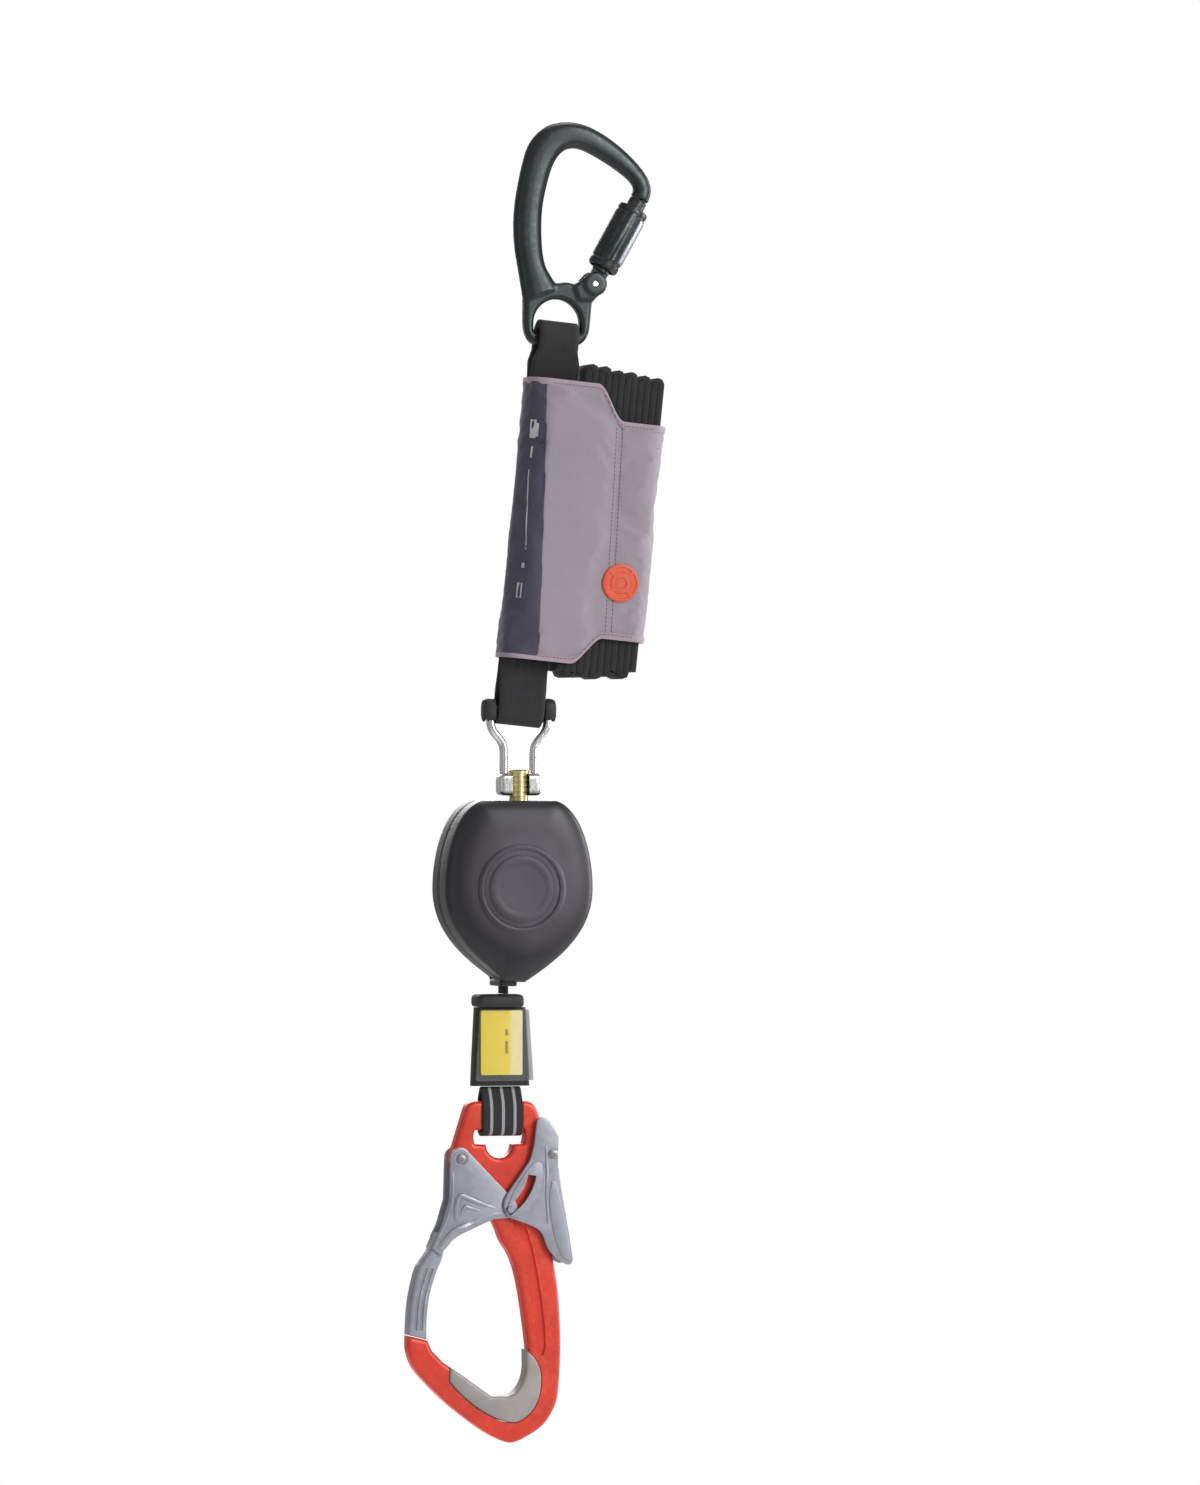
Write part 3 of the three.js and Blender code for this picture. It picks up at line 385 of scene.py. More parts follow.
class Shader:
    """A Principled material with helpers for its procedural inputs."""

    def __init__(self, name, roughness, metallic=0.0, **sockets):
        self.material = bpy.data.materials.new(name)
        self.material.use_nodes = True
        self.tree = self.material.node_tree
        self.surface = self.tree.nodes["Principled BSDF"]
        self.surface.inputs["Roughness"].default_value = roughness
        self.surface.inputs["Metallic"].default_value = metallic
        for socket, value in sockets.items():
            self.surface.inputs[socket.replace("_", " ")].default_value = value
        self.place = self.add("ShaderNodeTexCoord").outputs["Object"]

    def add(self, kind, **inputs):
        node = self.tree.nodes.new(kind)
        for key, value in inputs.items():
            socket = node.inputs[key]
            if isinstance(value, bpy.types.NodeSocket):
                self.tree.links.new(value, socket)
            else:
                socket.default_value = value
        return node

    def math(self, operation, first, second=None):
        node = self.tree.nodes.new("ShaderNodeMath")
        node.operation = operation
        for socket, value in zip(node.inputs, (first, second)):
            if isinstance(value, bpy.types.NodeSocket):
                self.tree.links.new(value, socket)
            elif value is not None:
                socket.default_value = value
        return node.outputs[0]

    def vector(self, operation, other):
        """A vector operation between the place on the piece and a constant."""
        node = self.tree.nodes.new("ShaderNodeVectorMath")
        node.operation = operation
        self.tree.links.new(self.place, node.inputs[0])
        node.inputs[1].default_value = other
        return node

    def noise(self, size, detail, where=None):
        """Noise whose features are about size millimetres across."""
        settings = {"Scale": 1 / (size * MM), "Detail": detail, "Roughness": 0.55}
        return self.add("ShaderNodeTexNoise", Vector=where or self.place, **settings).outputs["Fac"]

    def ramp(self, factor, low, high, start=0.3, end=0.7):
        """Low to high while the factor goes from start to end."""
        ends = {"From Min": start, "From Max": end, "To Min": low, "To Max": high}
        return self.add("ShaderNodeMapRange", Value=factor, **ends).outputs["Result"]

    def mix(self, factor, first, second):
        node = self.tree.nodes.new("ShaderNodeMix")
        node.data_type = "RGBA"
        sockets = {"Factor": factor, "A": first, "B": second}
        for name, value in sockets.items():
            socket = next(s for s in node.inputs if s.name == name and s.enabled)
            if isinstance(value, bpy.types.NodeSocket):
                self.tree.links.new(value, socket)
            else:
                socket.default_value = (*value, 1) if isinstance(value, tuple) else value
        return next(s for s in node.outputs if s.enabled)

    def set(self, socket, value):
        self.tree.links.new(value, self.surface.inputs[socket])

    def bump(self, height, distance, strength=1.0):
        """Adds relief of a depth in millimetres under any relief that is already there."""
        node = self.add("ShaderNodeBump", Height=height, Distance=distance * MM, Strength=strength)
        link = self.surface.inputs["Normal"].links
        if link:
            self.tree.links.new(link[0].from_socket, node.inputs["Normal"])
        self.set("Normal", node.outputs["Normal"])

    def edges(self):
        """Near 1 on the outer edges of a finely meshed piece."""
        node = self.tree.nodes.new("ShaderNodeNewGeometry")
        return self.ramp(node.outputs["Pointiness"], 0.0, 1.0, 0.52, 0.6)


def shade(color, factor):
    return tuple(min(1.0, c * factor) for c in color)


def coated_metal(name, color, roughness, metallic, wear, worn, grain, depth):
    """Anodised or painted metal: slow colour drift, fine grain and a little wear on the edges."""
    shader = Shader(name, roughness, metallic)
    drift = shader.ramp(shader.noise(14, 4), 0.0, 1.0)
    tone = shader.mix(drift, shade(color, 0.88), shade(color, 1.1))
    patch = shader.math("MULTIPLY", shader.edges(), shader.ramp(shader.noise(2.5, 6), 0.0, wear, 0.45, 0.65))
    shader.set("Base Color", shader.mix(patch, tone, worn))
    shader.set("Roughness", shader.ramp(shader.noise(3, 5), roughness - 0.07, roughness + 0.09))
    shader.bump(shader.noise(grain, 3), depth)
    return shader.material


def bright_metal(name, color, roughness):
    """Polished metal with fine scratches along its length."""
    shader = Shader(name, roughness, 1.0)
    stretch = shader.vector("MULTIPLY", (1.0, 1.0, 0.08))
    lines = shader.noise(0.5, 4, stretch.outputs["Vector"])
    shader.set("Base Color", shader.mix(shader.ramp(shader.noise(6, 4), 0.0, 1.0), shade(color, 0.86), color))
    shader.set("Roughness", shader.ramp(lines, roughness - 0.06, roughness + 0.12))
    shader.bump(lines, 0.015, 0.4)
    return shader.material


def plastic(name, color, roughness, grain, depth):
    """Moulded plastic or rubber with a spark-eroded grain."""
    shader = Shader(name, roughness)
    cloud = shader.ramp(shader.noise(25, 4), 0.0, 1.0)
    shader.set("Base Color", shader.mix(cloud, shade(color, 0.85), shade(color, 1.18)))
    shader.set("Roughness", shader.ramp(shader.noise(5, 5), roughness - 0.06, roughness + 0.08))
    shader.bump(shader.noise(grain, 2), depth)
    return shader.material


def housing_painted_sheen_material(dark, pale, middle, reach):
    """Grained plastic, dark and glossy on the shoulders, duller over the flat of the face, where a painted sheen
    makes it paler.
    """
    shader = Shader("housing_plastic", 0.42)
    shoulder = shader.ramp(shader.vector("DISTANCE", middle).outputs["Value"], 0.0, 1.0, *reach)
    cloud = shader.ramp(shader.noise(22, 4), 0.0, 1.0)
    face = shader.mix(cloud, shade(pale, 0.85), shade(pale, 1.18))
    # Painted sheen: the base colour is paler round the middle of the front face and darker out towards the
    # shoulders.
    shader.set("Base Color", shader.mix(shoulder, face, dark))
    shader.set("Roughness", shader.ramp(shoulder, 0.5, 0.36, 0.0, 1.0))
    shader.bump(shader.noise(0.45, 2), 0.04)
    return shader.material


def strap_material(name, color, stripes=False):
    """Woven webbing: ribs along the strap, with the weft's small steps across them."""
    shader = Shader(name, 0.85, 0.0, Sheen_Weight=0.08, Sheen_Roughness=0.5)
    cloth = shader.tree.nodes.new("ShaderNodeAttribute")
    cloth.attribute_name = "cloth"
    parts = shader.add("ShaderNodeSeparateXYZ", Vector=cloth.outputs["Vector"])
    across, along = parts.outputs[0], parts.outputs[1]
    chevron = shader.math("MULTIPLY", shader.math("PINGPONG", across, 2.2 * MM), 0.8)
    rib = shader.math("SINE", shader.math("MULTIPLY", across, 2 * math.pi / (1.15 * MM)))
    slant = shader.math("ADD", along, chevron)
    weft = shader.math("SINE", shader.math("MULTIPLY", slant, 2 * math.pi / (1.3 * MM)))
    weave = shader.math("ADD", shader.math("MULTIPLY", rib, 0.25), shader.math("MULTIPLY", weft, 0.25))
    weave = shader.math("ADD", weave, 0.5)
    tone = shader.mix(weave, shade(color, 0.45), shade(color, 1.7))
    tone = shader.mix(shader.ramp(shader.noise(9, 4), 0.0, 0.35), tone, shade(color, 2.2))
    if stripes:
        offset = shader.math("PINGPONG", across, 3.6 * MM)
        mark = shader.ramp(offset, 1.0, 0.0, 0.7 * MM, 1.05 * MM)
        inside = shader.ramp(shader.math("ABSOLUTE", across), 1.0, 0.0, 8.2 * MM, 8.8 * MM)
        broken = shader.ramp(weft, 0.35, 1.0, -0.8, 0.4)
        mark = shader.math("MULTIPLY", shader.math("MULTIPLY", mark, inside), broken)
        tone = shader.mix(mark, tone, (0.5, 0.5, 0.52))
    shader.set("Base Color", tone)
    shader.bump(weave, 0.22, 0.8)
    return shader.material


THREAD_PITCH = 0.42  # of the cover's weave


def cover_material(name, color):
    """Close plain-woven nylon, in the absorber's leaned frame."""
    shader = Shader(name, 0.78, 0.0, Sheen_Weight=0.35, Sheen_Roughness=0.45)
    turn = shader.add("ShaderNodeMapping", Vector=shader.place, Rotation=(0, -LEAN, 0))
    parts = shader.add("ShaderNodeSeparateXYZ", Vector=turn.outputs[0])
    x, y, z = parts.outputs
    around = shader.math("ADD", x, shader.math("MULTIPLY", y, 0.9))
    warp = shader.math("SINE", shader.math("MULTIPLY", around, math.pi / (THREAD_PITCH * MM)))
    weft = shader.math("SINE", shader.math("MULTIPLY", z, math.pi / (THREAD_PITCH * MM)))
    weave = shader.math("ADD", shader.math("MULTIPLY", shader.math("MULTIPLY", warp, weft), 0.5), 0.5)
    slub = shader.ramp(shader.noise(2.2, 5), 0.0, 1.0)
    tone = shader.mix(weave, shade(color, 0.86), shade(color, 1.08))
    tone = shader.mix(shader.math("MULTIPLY", slub, 0.45), tone, shade(color, 0.82))
    tone = shader.mix(shader.ramp(shader.noise(38, 3), 0.0, 0.4), tone, shade(color, 1.2))
    shader.set("Base Color", tone)
    shader.bump(weave, 0.05, 0.6)
    shader.bump(shader.noise(4, 4), 0.12, 0.35)
    return shader.material


def label_material():
    """Printed film: yellow, with a pale band of painted glare at its right, and two short generic bars."""
    shader = Shader("label_print", 0.45, 0.0, Coat_Weight=0.2, Coat_Roughness=0.2)
    low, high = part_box("information_label")
    parts = shader.add("ShaderNodeSeparateXYZ", Vector=shader.place)
    width, height = high[0] - low[0], high[2] - low[2]
    u = shader.math("DIVIDE", shader.math("SUBTRACT", parts.outputs[0], low[0]), width)
    v = shader.math("DIVIDE", shader.math("SUBTRACT", parts.outputs[2], low[2]), height)
    # The pale band at the right is painted glare on the film.
    pale = shader.ramp(u, 0.0, 1.0, 0.68, 0.76)
    tone = shader.mix(pale, (1.0, 0.76, 0.0), (0.95, 0.88, 0.4))
    for centre, half in ((0.43, 0.09), (0.66, 0.04)):
        beside = shader.math("ABSOLUTE", shader.math("SUBTRACT", u, 0.615))
        above = shader.math("ABSOLUTE", shader.math("SUBTRACT", v, centre))
        across = shader.ramp(beside, 1.0, 0.0, 0.03, 0.042)
        mark = shader.math("MULTIPLY", across, shader.ramp(above, 1.0, 0.0, half, half + 0.02))
        tone = shader.mix(shader.math("MULTIPLY", mark, 0.8), tone, (0.2, 0.09, 0.02))
    tone = shader.mix(shader.ramp(shader.noise(4, 4), 0.0, 0.16), tone, (0.6, 0.45, 0.1))
    shader.set("Base Color", tone)
    shader.bump(shader.noise(3, 3), 0.05, 0.3)
    return shader.material


def clear_material():
    """Soft clear film, slightly cloudy."""
    shader = Shader("clear_film", 0.25, 0.0, Transmission_Weight=0.6, IOR=1.45, Alpha=0.16)
    cloud = shader.ramp(shader.noise(8, 3), 0.0, 1.0)
    shader.set("Base Color", shader.mix(cloud, (0.62, 0.6, 0.58), (0.8, 0.79, 0.77)))
    shader.bump(shader.noise(6, 3), 0.08, 0.4)
    return shader.material


BLACK, WEBBING_BLACK = (0.045, 0.052, 0.053), (0.018, 0.018, 0.02)
PAINTED_SHEEN_MIDDLE = (DRUM.x + 0.007, -0.022, DRUM.z + 0.006)  # the middle of the housing's painted sheen, its palest point, in metres

# The name of a material slot, or of a variant within one, and its material.
looks = {
    "black_aluminium": coated_metal("black_anodised", BLACK, 0.34, 0.75, 0.5, (0.3, 0.31, 0.31), 0.4, 0.02),
    "red_aluminium": coated_metal(
        "red_anodised", (0.74, 0.055, 0.032), 0.34, 0.3, 0.4, (0.9, 0.3, 0.14), 0.5, 0.03),
    "grey_alloy": coated_metal(
        "grey_alloy", (0.36, 0.37, 0.43), 0.36, 0.55, 0.5, (0.62, 0.63, 0.68), 0.7, 0.05),
    "insert_alloy": coated_metal(
        "insert_alloy", (0.36, 0.33, 0.32), 0.48, 0.4, 0.3, (0.55, 0.53, 0.52), 0.6, 0.04),
    "steel": bright_metal("bright_steel", (0.86, 0.86, 0.85), 0.2),
    "rivet_steel": bright_metal("rivet_steel", (0.34, 0.34, 0.36), 0.38),
    "burnished_steel": bright_metal("burnished_steel", (0.1, 0.1, 0.105), 0.4),
    "brass": bright_metal("yellow_brass", (0.78, 0.68, 0.36), 0.32),
    "webbing": strap_material("black_webbing", WEBBING_BLACK),
    "striped_webbing": strap_material("striped_webbing", WEBBING_BLACK, stripes=True),
    "cover_fabric": cover_material("mauve_nylon", (0.33, 0.285, 0.335)),
    "hem_fabric": cover_material("pink_binding", (0.4, 0.31, 0.365)),
    # The side panel's dark colour is painted shade of the cover's left side.
    "panel_fabric": cover_material("shade_dark_nylon", (0.062, 0.055, 0.092)),
    "badge": plastic("orange_rubber", (0.78, 0.1, 0.035), 0.45, 0.5, 0.02),
    # The housing's paler face is a painted sheen.
    "housing_plastic": housing_painted_sheen_material(
        (0.017, 0.015, 0.019), (0.072, 0.061, 0.08), PAINTED_SHEEN_MIDDLE, (0.022, 0.046)),
    "drum_plastic": plastic("black_rubber", (0.02, 0.02, 0.021), 0.6, 0.8, 0.03),
    "label": label_material(),
    "clear_plastic": clear_material(),
    "welded_film": plastic("welded_film", (0.4, 0.38, 0.41), 0.35, 1.5, 0.03),
    "thread": plastic("plum_thread", (0.19, 0.11, 0.15), 0.8, 0.3, 0.02),
    "black_thread": plastic("black_thread", (0.035, 0.035, 0.04), 0.7, 0.3, 0.02),
    "white_print": plastic("white_print", (0.55, 0.55, 0.58), 0.7, 0.4, 0.01),
}


def dress(obj, look, body, *nodes, slot=None):
    """Gives a piece its material and its body, and hides the CAD nodes it stands for."""
    obj.data.materials.clear()
    obj.data.materials.append(looks[look])
    if body:
        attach(obj, body)
    if nodes:
        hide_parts(*nodes)
    return obj


# ---- Camera, light and floor --------------------------------------------------------------------------

VIEW_AZIMUTH = math.radians(-15)
VIEW_HEIGHT = 0.891  # metres of the object's plane that the picture covers
CAMERA_DISTANCE = 6.0
SENSOR = 36  # the picture's long side
PICTURE_MIDDLE = (0.0174, -0.3567)  # to the right of the carabiner's seat, and up from it, in metres
LIGHT_TARGET = (-0.02, 0, -0.38)
FLOOR_Z, FLOOR_RADIUS = -950, 1200


def camera():
    data = bpy.data.cameras.new("camera")
    data.sensor_width = SENSOR
    data.lens = SENSOR * CAMERA_DISTANCE / VIEW_HEIGHT
    back = Vector((math.sin(VIEW_AZIMUTH), -math.cos(VIEW_AZIMUTH), 0))
    right = Vector((math.cos(VIEW_AZIMUTH), math.sin(VIEW_AZIMUTH), 0))
    target = Vector((0, 0, PICTURE_MIDDLE[1])) + right * PICTURE_MIDDLE[0]
    obj = from_mesh("camera", data)
    obj.location = target + back * CAMERA_DISTANCE
    obj.rotation_euler = (math.pi / 2, 0, VIEW_AZIMUTH)
    bpy.context.scene.camera = obj


def area_light(name, place, size, power):
    data = bpy.data.lights.new(name, "AREA")
    data.shape = "RECTANGLE"
    data.size, data.size_y = size
    data.energy = power
    obj = from_mesh(name, data)
    obj.location = place
    obj.rotation_euler = (Vector(LIGHT_TARGET) - Vector(place)).to_track_quat("-Z", "Y").to_euler()


def studio():
    """A white surround that lights the object less than it shows, five soft lights and a pale floor."""
    world = bpy.data.worlds.new("world")
    bpy.context.scene.world = world
    world.use_nodes = True
    tree = world.node_tree
    backdrop, ambient = tree.nodes["Background"], tree.nodes.new("ShaderNodeBackground")
    for background, strength in ((backdrop, 1.0), (ambient, 0.34)):
        background.inputs["Color"].default_value = (1, 1, 1, 1)
        background.inputs["Strength"].default_value = strength
    path = tree.nodes.new("ShaderNodeLightPath")
    blend = tree.nodes.new("ShaderNodeMixShader")
    tree.links.new(path.outputs["Is Camera Ray"], blend.inputs[0])
    tree.links.new(ambient.outputs[0], blend.inputs[1])
    tree.links.new(backdrop.outputs[0], blend.inputs[2])
    tree.links.new(blend.outputs[0], tree.nodes["World Output"].inputs["Surface"])
    area_light("key", (1.2, -2.1, 0.5), (0.9, 1.7), 40)
    area_light("side", (1.9, 0.1, -0.1), (0.4, 1.6), 22)
    area_light("fill", (-1.7, -1.5, -0.3), (0.8, 1.4), 1.5)
    area_light("top", (0.2, 0.3, 1.6), (1.0, 1.0), 16)
    area_light("back", (0.3, 2.2, 0.4), (1.2, 1.6), 22)
    bpy.context.scene.view_settings.view_transform = "Standard"
    circle = ellipse(FLOOR_RADIUS, FLOOR_RADIUS, 64)
    floor = loft("floor", [[(x, y, z) for x, y in circle] for z in (FLOOR_Z - 6, FLOOR_Z)])
    paper = Shader("pale_floor", 0.75)
    cloud = paper.ramp(paper.noise(300, 2), 0.0, 1.0)
    paper.set("Base Color", paper.mix(cloud, (0.8, 0.8, 0.79), (0.83, 0.83, 0.82)))
    floor.data.materials.append(paper.material)


camera()
studio()

# ---- Top carabiner ------------------------------------------------------------------------------------


def carabiner_frame():
    """A forged bow of rounded section, with a flattened captive eye below it."""
    outer = through([
        (47.2, -33.1), (49.3, -25.2), (46.3, -16), (36, -4), (22, 7), (8, 14), (-5, 15.6), (-17, 12),
        (-26.5, 1.5), (-32, -17), (-35.4, -38), (-35.4, -57), (-32.6, -75), (-29.8, -92),
    ], 7)
    inner = through([
        (37.4, -27.7), (38.6, -23.4), (34.5, -18), (24, -10.5), (11, -3.2), (2, -0.4), (-5, -2.2),
        (-10.4, -8.5), (-14.6, -20), (-18.2, -38), (-18.4, -57), (-16.5, -70), (-12.5, -77.5), (-8, -84),
    ], 7)
    half = 5.9
    rings = []
    for a, b in zip(outer, inner):
        middle, reach = (a + b) / 2, (a - b) / 2
        ring = ellipse(1.0, half, 20, 0.72)
        rings.append([(middle.x + reach.x * p, q, middle.y + reach.y * p) for p, q in ring])
    bow = loft("bow", rings)
    eye_x, eye_z = EYE.x / MM, EYE.z / MM
    ring = [
        (-29.8, -84), *bezier((-29.8, -105), (-29.6, -114), (-26, -119), (-19, -119), 8),
        *bezier((0, -119), (7, -119), (10.9, -114), (11.2, -105), 8), (12.3, -93), (14, -84), (-4, -80.5),
    ]
    left, right, low = eye_x - 14.4, eye_x + 14.4, eye_z + 4
    hole = arc(eye_x, eye_z + 9.6, 14.4, 0, 180, 20)
    hole += bezier((left, low + 2), (left, low), (eye_x - 14, low), (eye_x - 12, low), 4)
    hole += bezier((eye_x + 12, low), (eye_x + 14, low), (right, low), (right, low + 2), 4)
    eye = plate("eye", ring, -4.5, 4.5, 2.2, [hole], 4)
    pin_x, pin_z = GATE_PIN.x / MM, GATE_PIN.z / MM
    lug = plate("lug", arc(pin_x, pin_z, 7.5, 0, 345, 23), -5.9, 5.9, 1.6, (), 3)
    neck = plate("neck", [(3, -92), (13, -92), (20, -84), (10, -76), (0, -83)], -5.2, 5.2, 1.6, (), 3)
    body = forge(combine(bow, [eye, lug, neck], "UNION"), 0.75, 5)
    hinge = Matrix.Translation(GATE_PIN) @ ALONG_Y
    carve(body, bore(9.4, 3.3, hinge, 48), bore(2.25, 8, hinge))
    body.name = "carabiner_body"
    dress(body, "black_aluminium", "anchor_carabiner", "carabiner_frame")
    pin = turned("gate_pin", [(0, -6.2), (1.6, -6.2), (2, -5.8), (2, 5.8), (1.6, 6.2), (0, 6.2)], hinge, 32)
    dress(pin, "steel", "anchor_carabiner", "carabiner_gate_pin")


def carabiner_gate():
    """The gate's round bar and the twist sleeve that locks it over the nose."""
    around = [(-5, 10), (-5, 4), *arc(0, 0, 6.6, 150, 390, 20), (5, 4), (5, 10)]
    tongue = plate("tongue", around, -2.8, 2.8, 0.5, (), 2)
    profile = [(0, 8.3), (5, 8.3), (5.5, 8.9), (5.5, 57.2), (4.9, 57.9), (2.4, 57.9), (2.4, 14), (0, 14)]
    gate = combine(tongue, [turned("gate_bar", profile)], "UNION")
    gate.data.transform(GATE)
    carve(gate, bore(2.2, 8, Matrix.Translation(GATE_PIN) @ ALONG_Y))
    gate.name = "gate_bar"
    dress(gate, "black_aluminium", "carabiner_gate", "carabiner_gate")

    # The sleeve is knurled between its two grooves.
    low, high, outer = 10.7, 52.0, 9.4
    profile = [(5.9, 24.6), (7.6, 24.6), (7.6, low), (8.4, low), (9.1, low + 0.5), (outer, low + 1.6)]
    profile += [(outer, low + 4), (8.9, low + 4.6), (8.9, low + 5.6), (outer, low + 6.2), (outer, high - 5)]
    profile += [(8.9, high - 4.4), (8.9, high - 3.6), (outer, high - 3), (outer, high - 1.4)]
    profile += [(9.0, high - 0.4), (8.3, high), (5.9, high)]
    rings, segments, ridges = [], 96, 16
    for k in range(segments):
        a = 2 * math.pi * k / segments
        dent = 0.32 * max(0.0, math.cos(ridges * a)) ** 2
        ring = []
        for r, h in profile:
            cut = dent if r > 9.3 and low + 6 < h < high - 4.9 else 0
            ring.append(((r - cut) * math.cos(a), (r - cut) * math.sin(a), h))
        rings.append(ring)
    sleeve = loft("twist_sleeve", rings, GATE, closed=True)
    dress(sleeve, "black_aluminium", "carabiner_sleeve", "carabiner_twist_sleeve")

    # A pale raised strip down the sleeve's right side, in light grey alloy: a painted highlight standing in for
    # the sleeve's rim reflection.
    rings = []
    for h, rise in ((17.4, 0.1), (17.8, 0.45), (19.0, 0.6), (45.0, 0.6), (46.2, 0.45), (46.6, 0.1)):
        ring = []
        for k in range(21):
            a = math.radians(-52 + 5.2 * k)
            radius = 9.3 + rise * min(1.0, 4 * min(k, 20 - k) / 20 + 0.35)
            ring.append((radius * math.cos(a), radius * math.sin(a), h))
        ring += [(9.1 / math.hypot(x, y) * x, 9.1 / math.hypot(x, y) * y, h) for x, y, _ in reversed(ring)]
        rings.append(ring)
    strip = loft("painted_highlight_strip", rings, GATE)
    dress(strip, "grey_alloy", "carabiner_sleeve")


carabiner_frame()
carabiner_gate()

# ---- Energy absorber ----------------------------------------------------------------------------------

COVER_LEFT, COVER_RIGHT, COVER_HALF = -15.3, 69.9, 17.0
LEFT_ROUND, RIGHT_ROUND = 12.0, 8.0  # of the cover's long edges
SEAM_TOP, SEAM_FOOT = 40.5, 46.0  # where the long seam crosses the cover's ends
BADGE_X, BADGE_Z = 50.5, -141.8
BODY_PACK = "absorber_pack"


def strap_loop(name, side, eye, widening, thickness, place, node):
    """A doubled strap's loop round an eye at the origin: up one side, round and back down the other."""
    half = [Vector(p) for p in side[:3]] + through(side[2:], 5)[1:]
    path = half + arc(0, 0, *eye, 20) + [Vector((-p.x, p.y)) for p in reversed(half)]
    total = sum((b - a).length for a, b in zip(path, path[1:]))
    near, far, start, length = widening

    def half_width(s):
        return near + (far - near) * max(0.0, min(1.0, (abs(s - total / 2) - start) / length))

    loop = webbing(name, path, half_width, thickness, place, plies=2)
    dress(loop, "webbing", BODY_PACK, node)


def strap_loops():
    """Two stitched webbing loops: one in the carabiner's eye, one round the shackle's pin."""
    side = [(-3.2, -107.5), (-3.2, -60), (-3.2, -30), (-3.5, -23), (-6.2, -13), (-8.4, -5)]
    strap_loop("upper_loop", side, (8.75, 180, 0), (12, 14.4, 20.5, 7.5), 4.4, PACK, "upper_webbing_loop")
    side = [(-3.2, 111.5), (-3.2, 60), (-3.2, 30), (-3.4, 22), (-4.9, 13), (-6.6, 4.5)]
    below = PACK @ spot(0, -PACK_LENGTH)
    strap_loop("lower_loop", side, (6.9, 180, 360), (14, 14.4, 17, 7), 3.7, below, "lower_webbing_loop")
    low, high = 24 - PACK_LENGTH, 31 - PACK_LENGTH
    rows = [dashes((x, face * 5.2, low), (x, face * 5.15, high), 2.4) for face in (-1, 1)
            for x in (-11, -5.5, 0, 5.5, 11)]
    thread = stitches("loop_stitches", rows, 0.7, PACK)
    dress(thread, "black_thread", BODY_PACK, slot="webbing")


def tear_webbing():
    """The long tear webbing, folded to and fro in one pack."""
    left, right, folds, thick, half = 17.3, 66.7, 11, 4.0, 13.0
    pitch = (right - left) / (folds + 1)
    path = []
    for k in range(folds + 1):
        x = left + pitch * (k + 0.5)
        wobble = 0.35 * math.sin(1.3 * k) + 0.2 * math.sin(4.1 * k)
        top = -16.2 - 0.4 * k + wobble
        foot = -198.5 + 0.42 * k + 0.8 * math.sin(1.9 * k + 1)
        run = [Vector((x, z)) for z in (top, -70, -130, foot)]
        turn = -1 if k % 2 else 1
        path += run[::-turn]
        if k < folds:
            bend = ((0.15, 1.0), (0.5, 1.5), (0.85, 1.0))
            path += [path[-1] + Vector((pitch * a, turn * b)) for a, b in bend]
    section = [(1, -half + 0.35), (0.8, -half), (-0.8, -half), (-1, -half + 0.35), (-1, 0), (-1, half - 0.35),
               (-0.8, half), (0.8, half), (1, half - 0.35), (1, 0)]
    rings, cloth, length = [], [], 0.0
    for i, point in enumerate(path):
        if i:
            length += (point - path[i - 1]).length
        ahead = heading(path, i)
        normal = Vector((ahead.y, -ahead.x)) * (thick / 2)
        rings.append([(point.x + normal.x * n, y, point.y + normal.y * n) for n, y in section])
        cloth += [(y, length) for _, y in section]
    dress(woven("folded_webbing", rings, cloth, PACK), "webbing", BODY_PACK, "tear_webbing")


def step(value, start, end):
    """A smooth rise from 0 at the start to 1 at the end."""
    t = max(0.0, min(1.0, (value - start) / (end - start)))
    return t * t * (3 - 2 * t)


def cover_top(u):
    """The height of the cover's upper edge. Both ends are cut back round the shackle side."""
    return -24.5 - 21 * step(u, 25, 43)


def cover_foot(u):
    return -193 + 17 * step(u, 24, 43)


def cover_ring(columns):
    """The flat tube's section as (u, y) points, starting at the middle of its left side, front first."""
    left, right = LEFT_ROUND, RIGHT_ROUND
    shape = [Vector((COVER_LEFT, 0))]
    shape += arc(COVER_LEFT + left, -COVER_HALF + left, left, 180, 270, 10)
    shape += arc(COVER_RIGHT - right, -COVER_HALF + right, right, 270, 360, 8)
    shape += [Vector((COVER_RIGHT, 0))]
    shape += arc(COVER_RIGHT - right, COVER_HALF - right, right, 0, 90, 8)
    shape += arc(COVER_LEFT + left, COVER_HALF - left, left, 90, 180, 10)
    lengths = [0.0]
    for a, b in zip(shape, shape[1:] + shape[:1]):
        lengths.append(lengths[-1] + (b - a).length)
    ring = []
    for k in range(columns):
        target = lengths[-1] * k / columns
        i = max(j for j, value in enumerate(lengths[:-1]) if value <= target)
        a, b = shape[i], shape[(i + 1) % len(shape)]
        span = lengths[i + 1] - lengths[i]
        ring.append(a.lerp(b, (target - lengths[i]) / span if span else 0))
    return ring


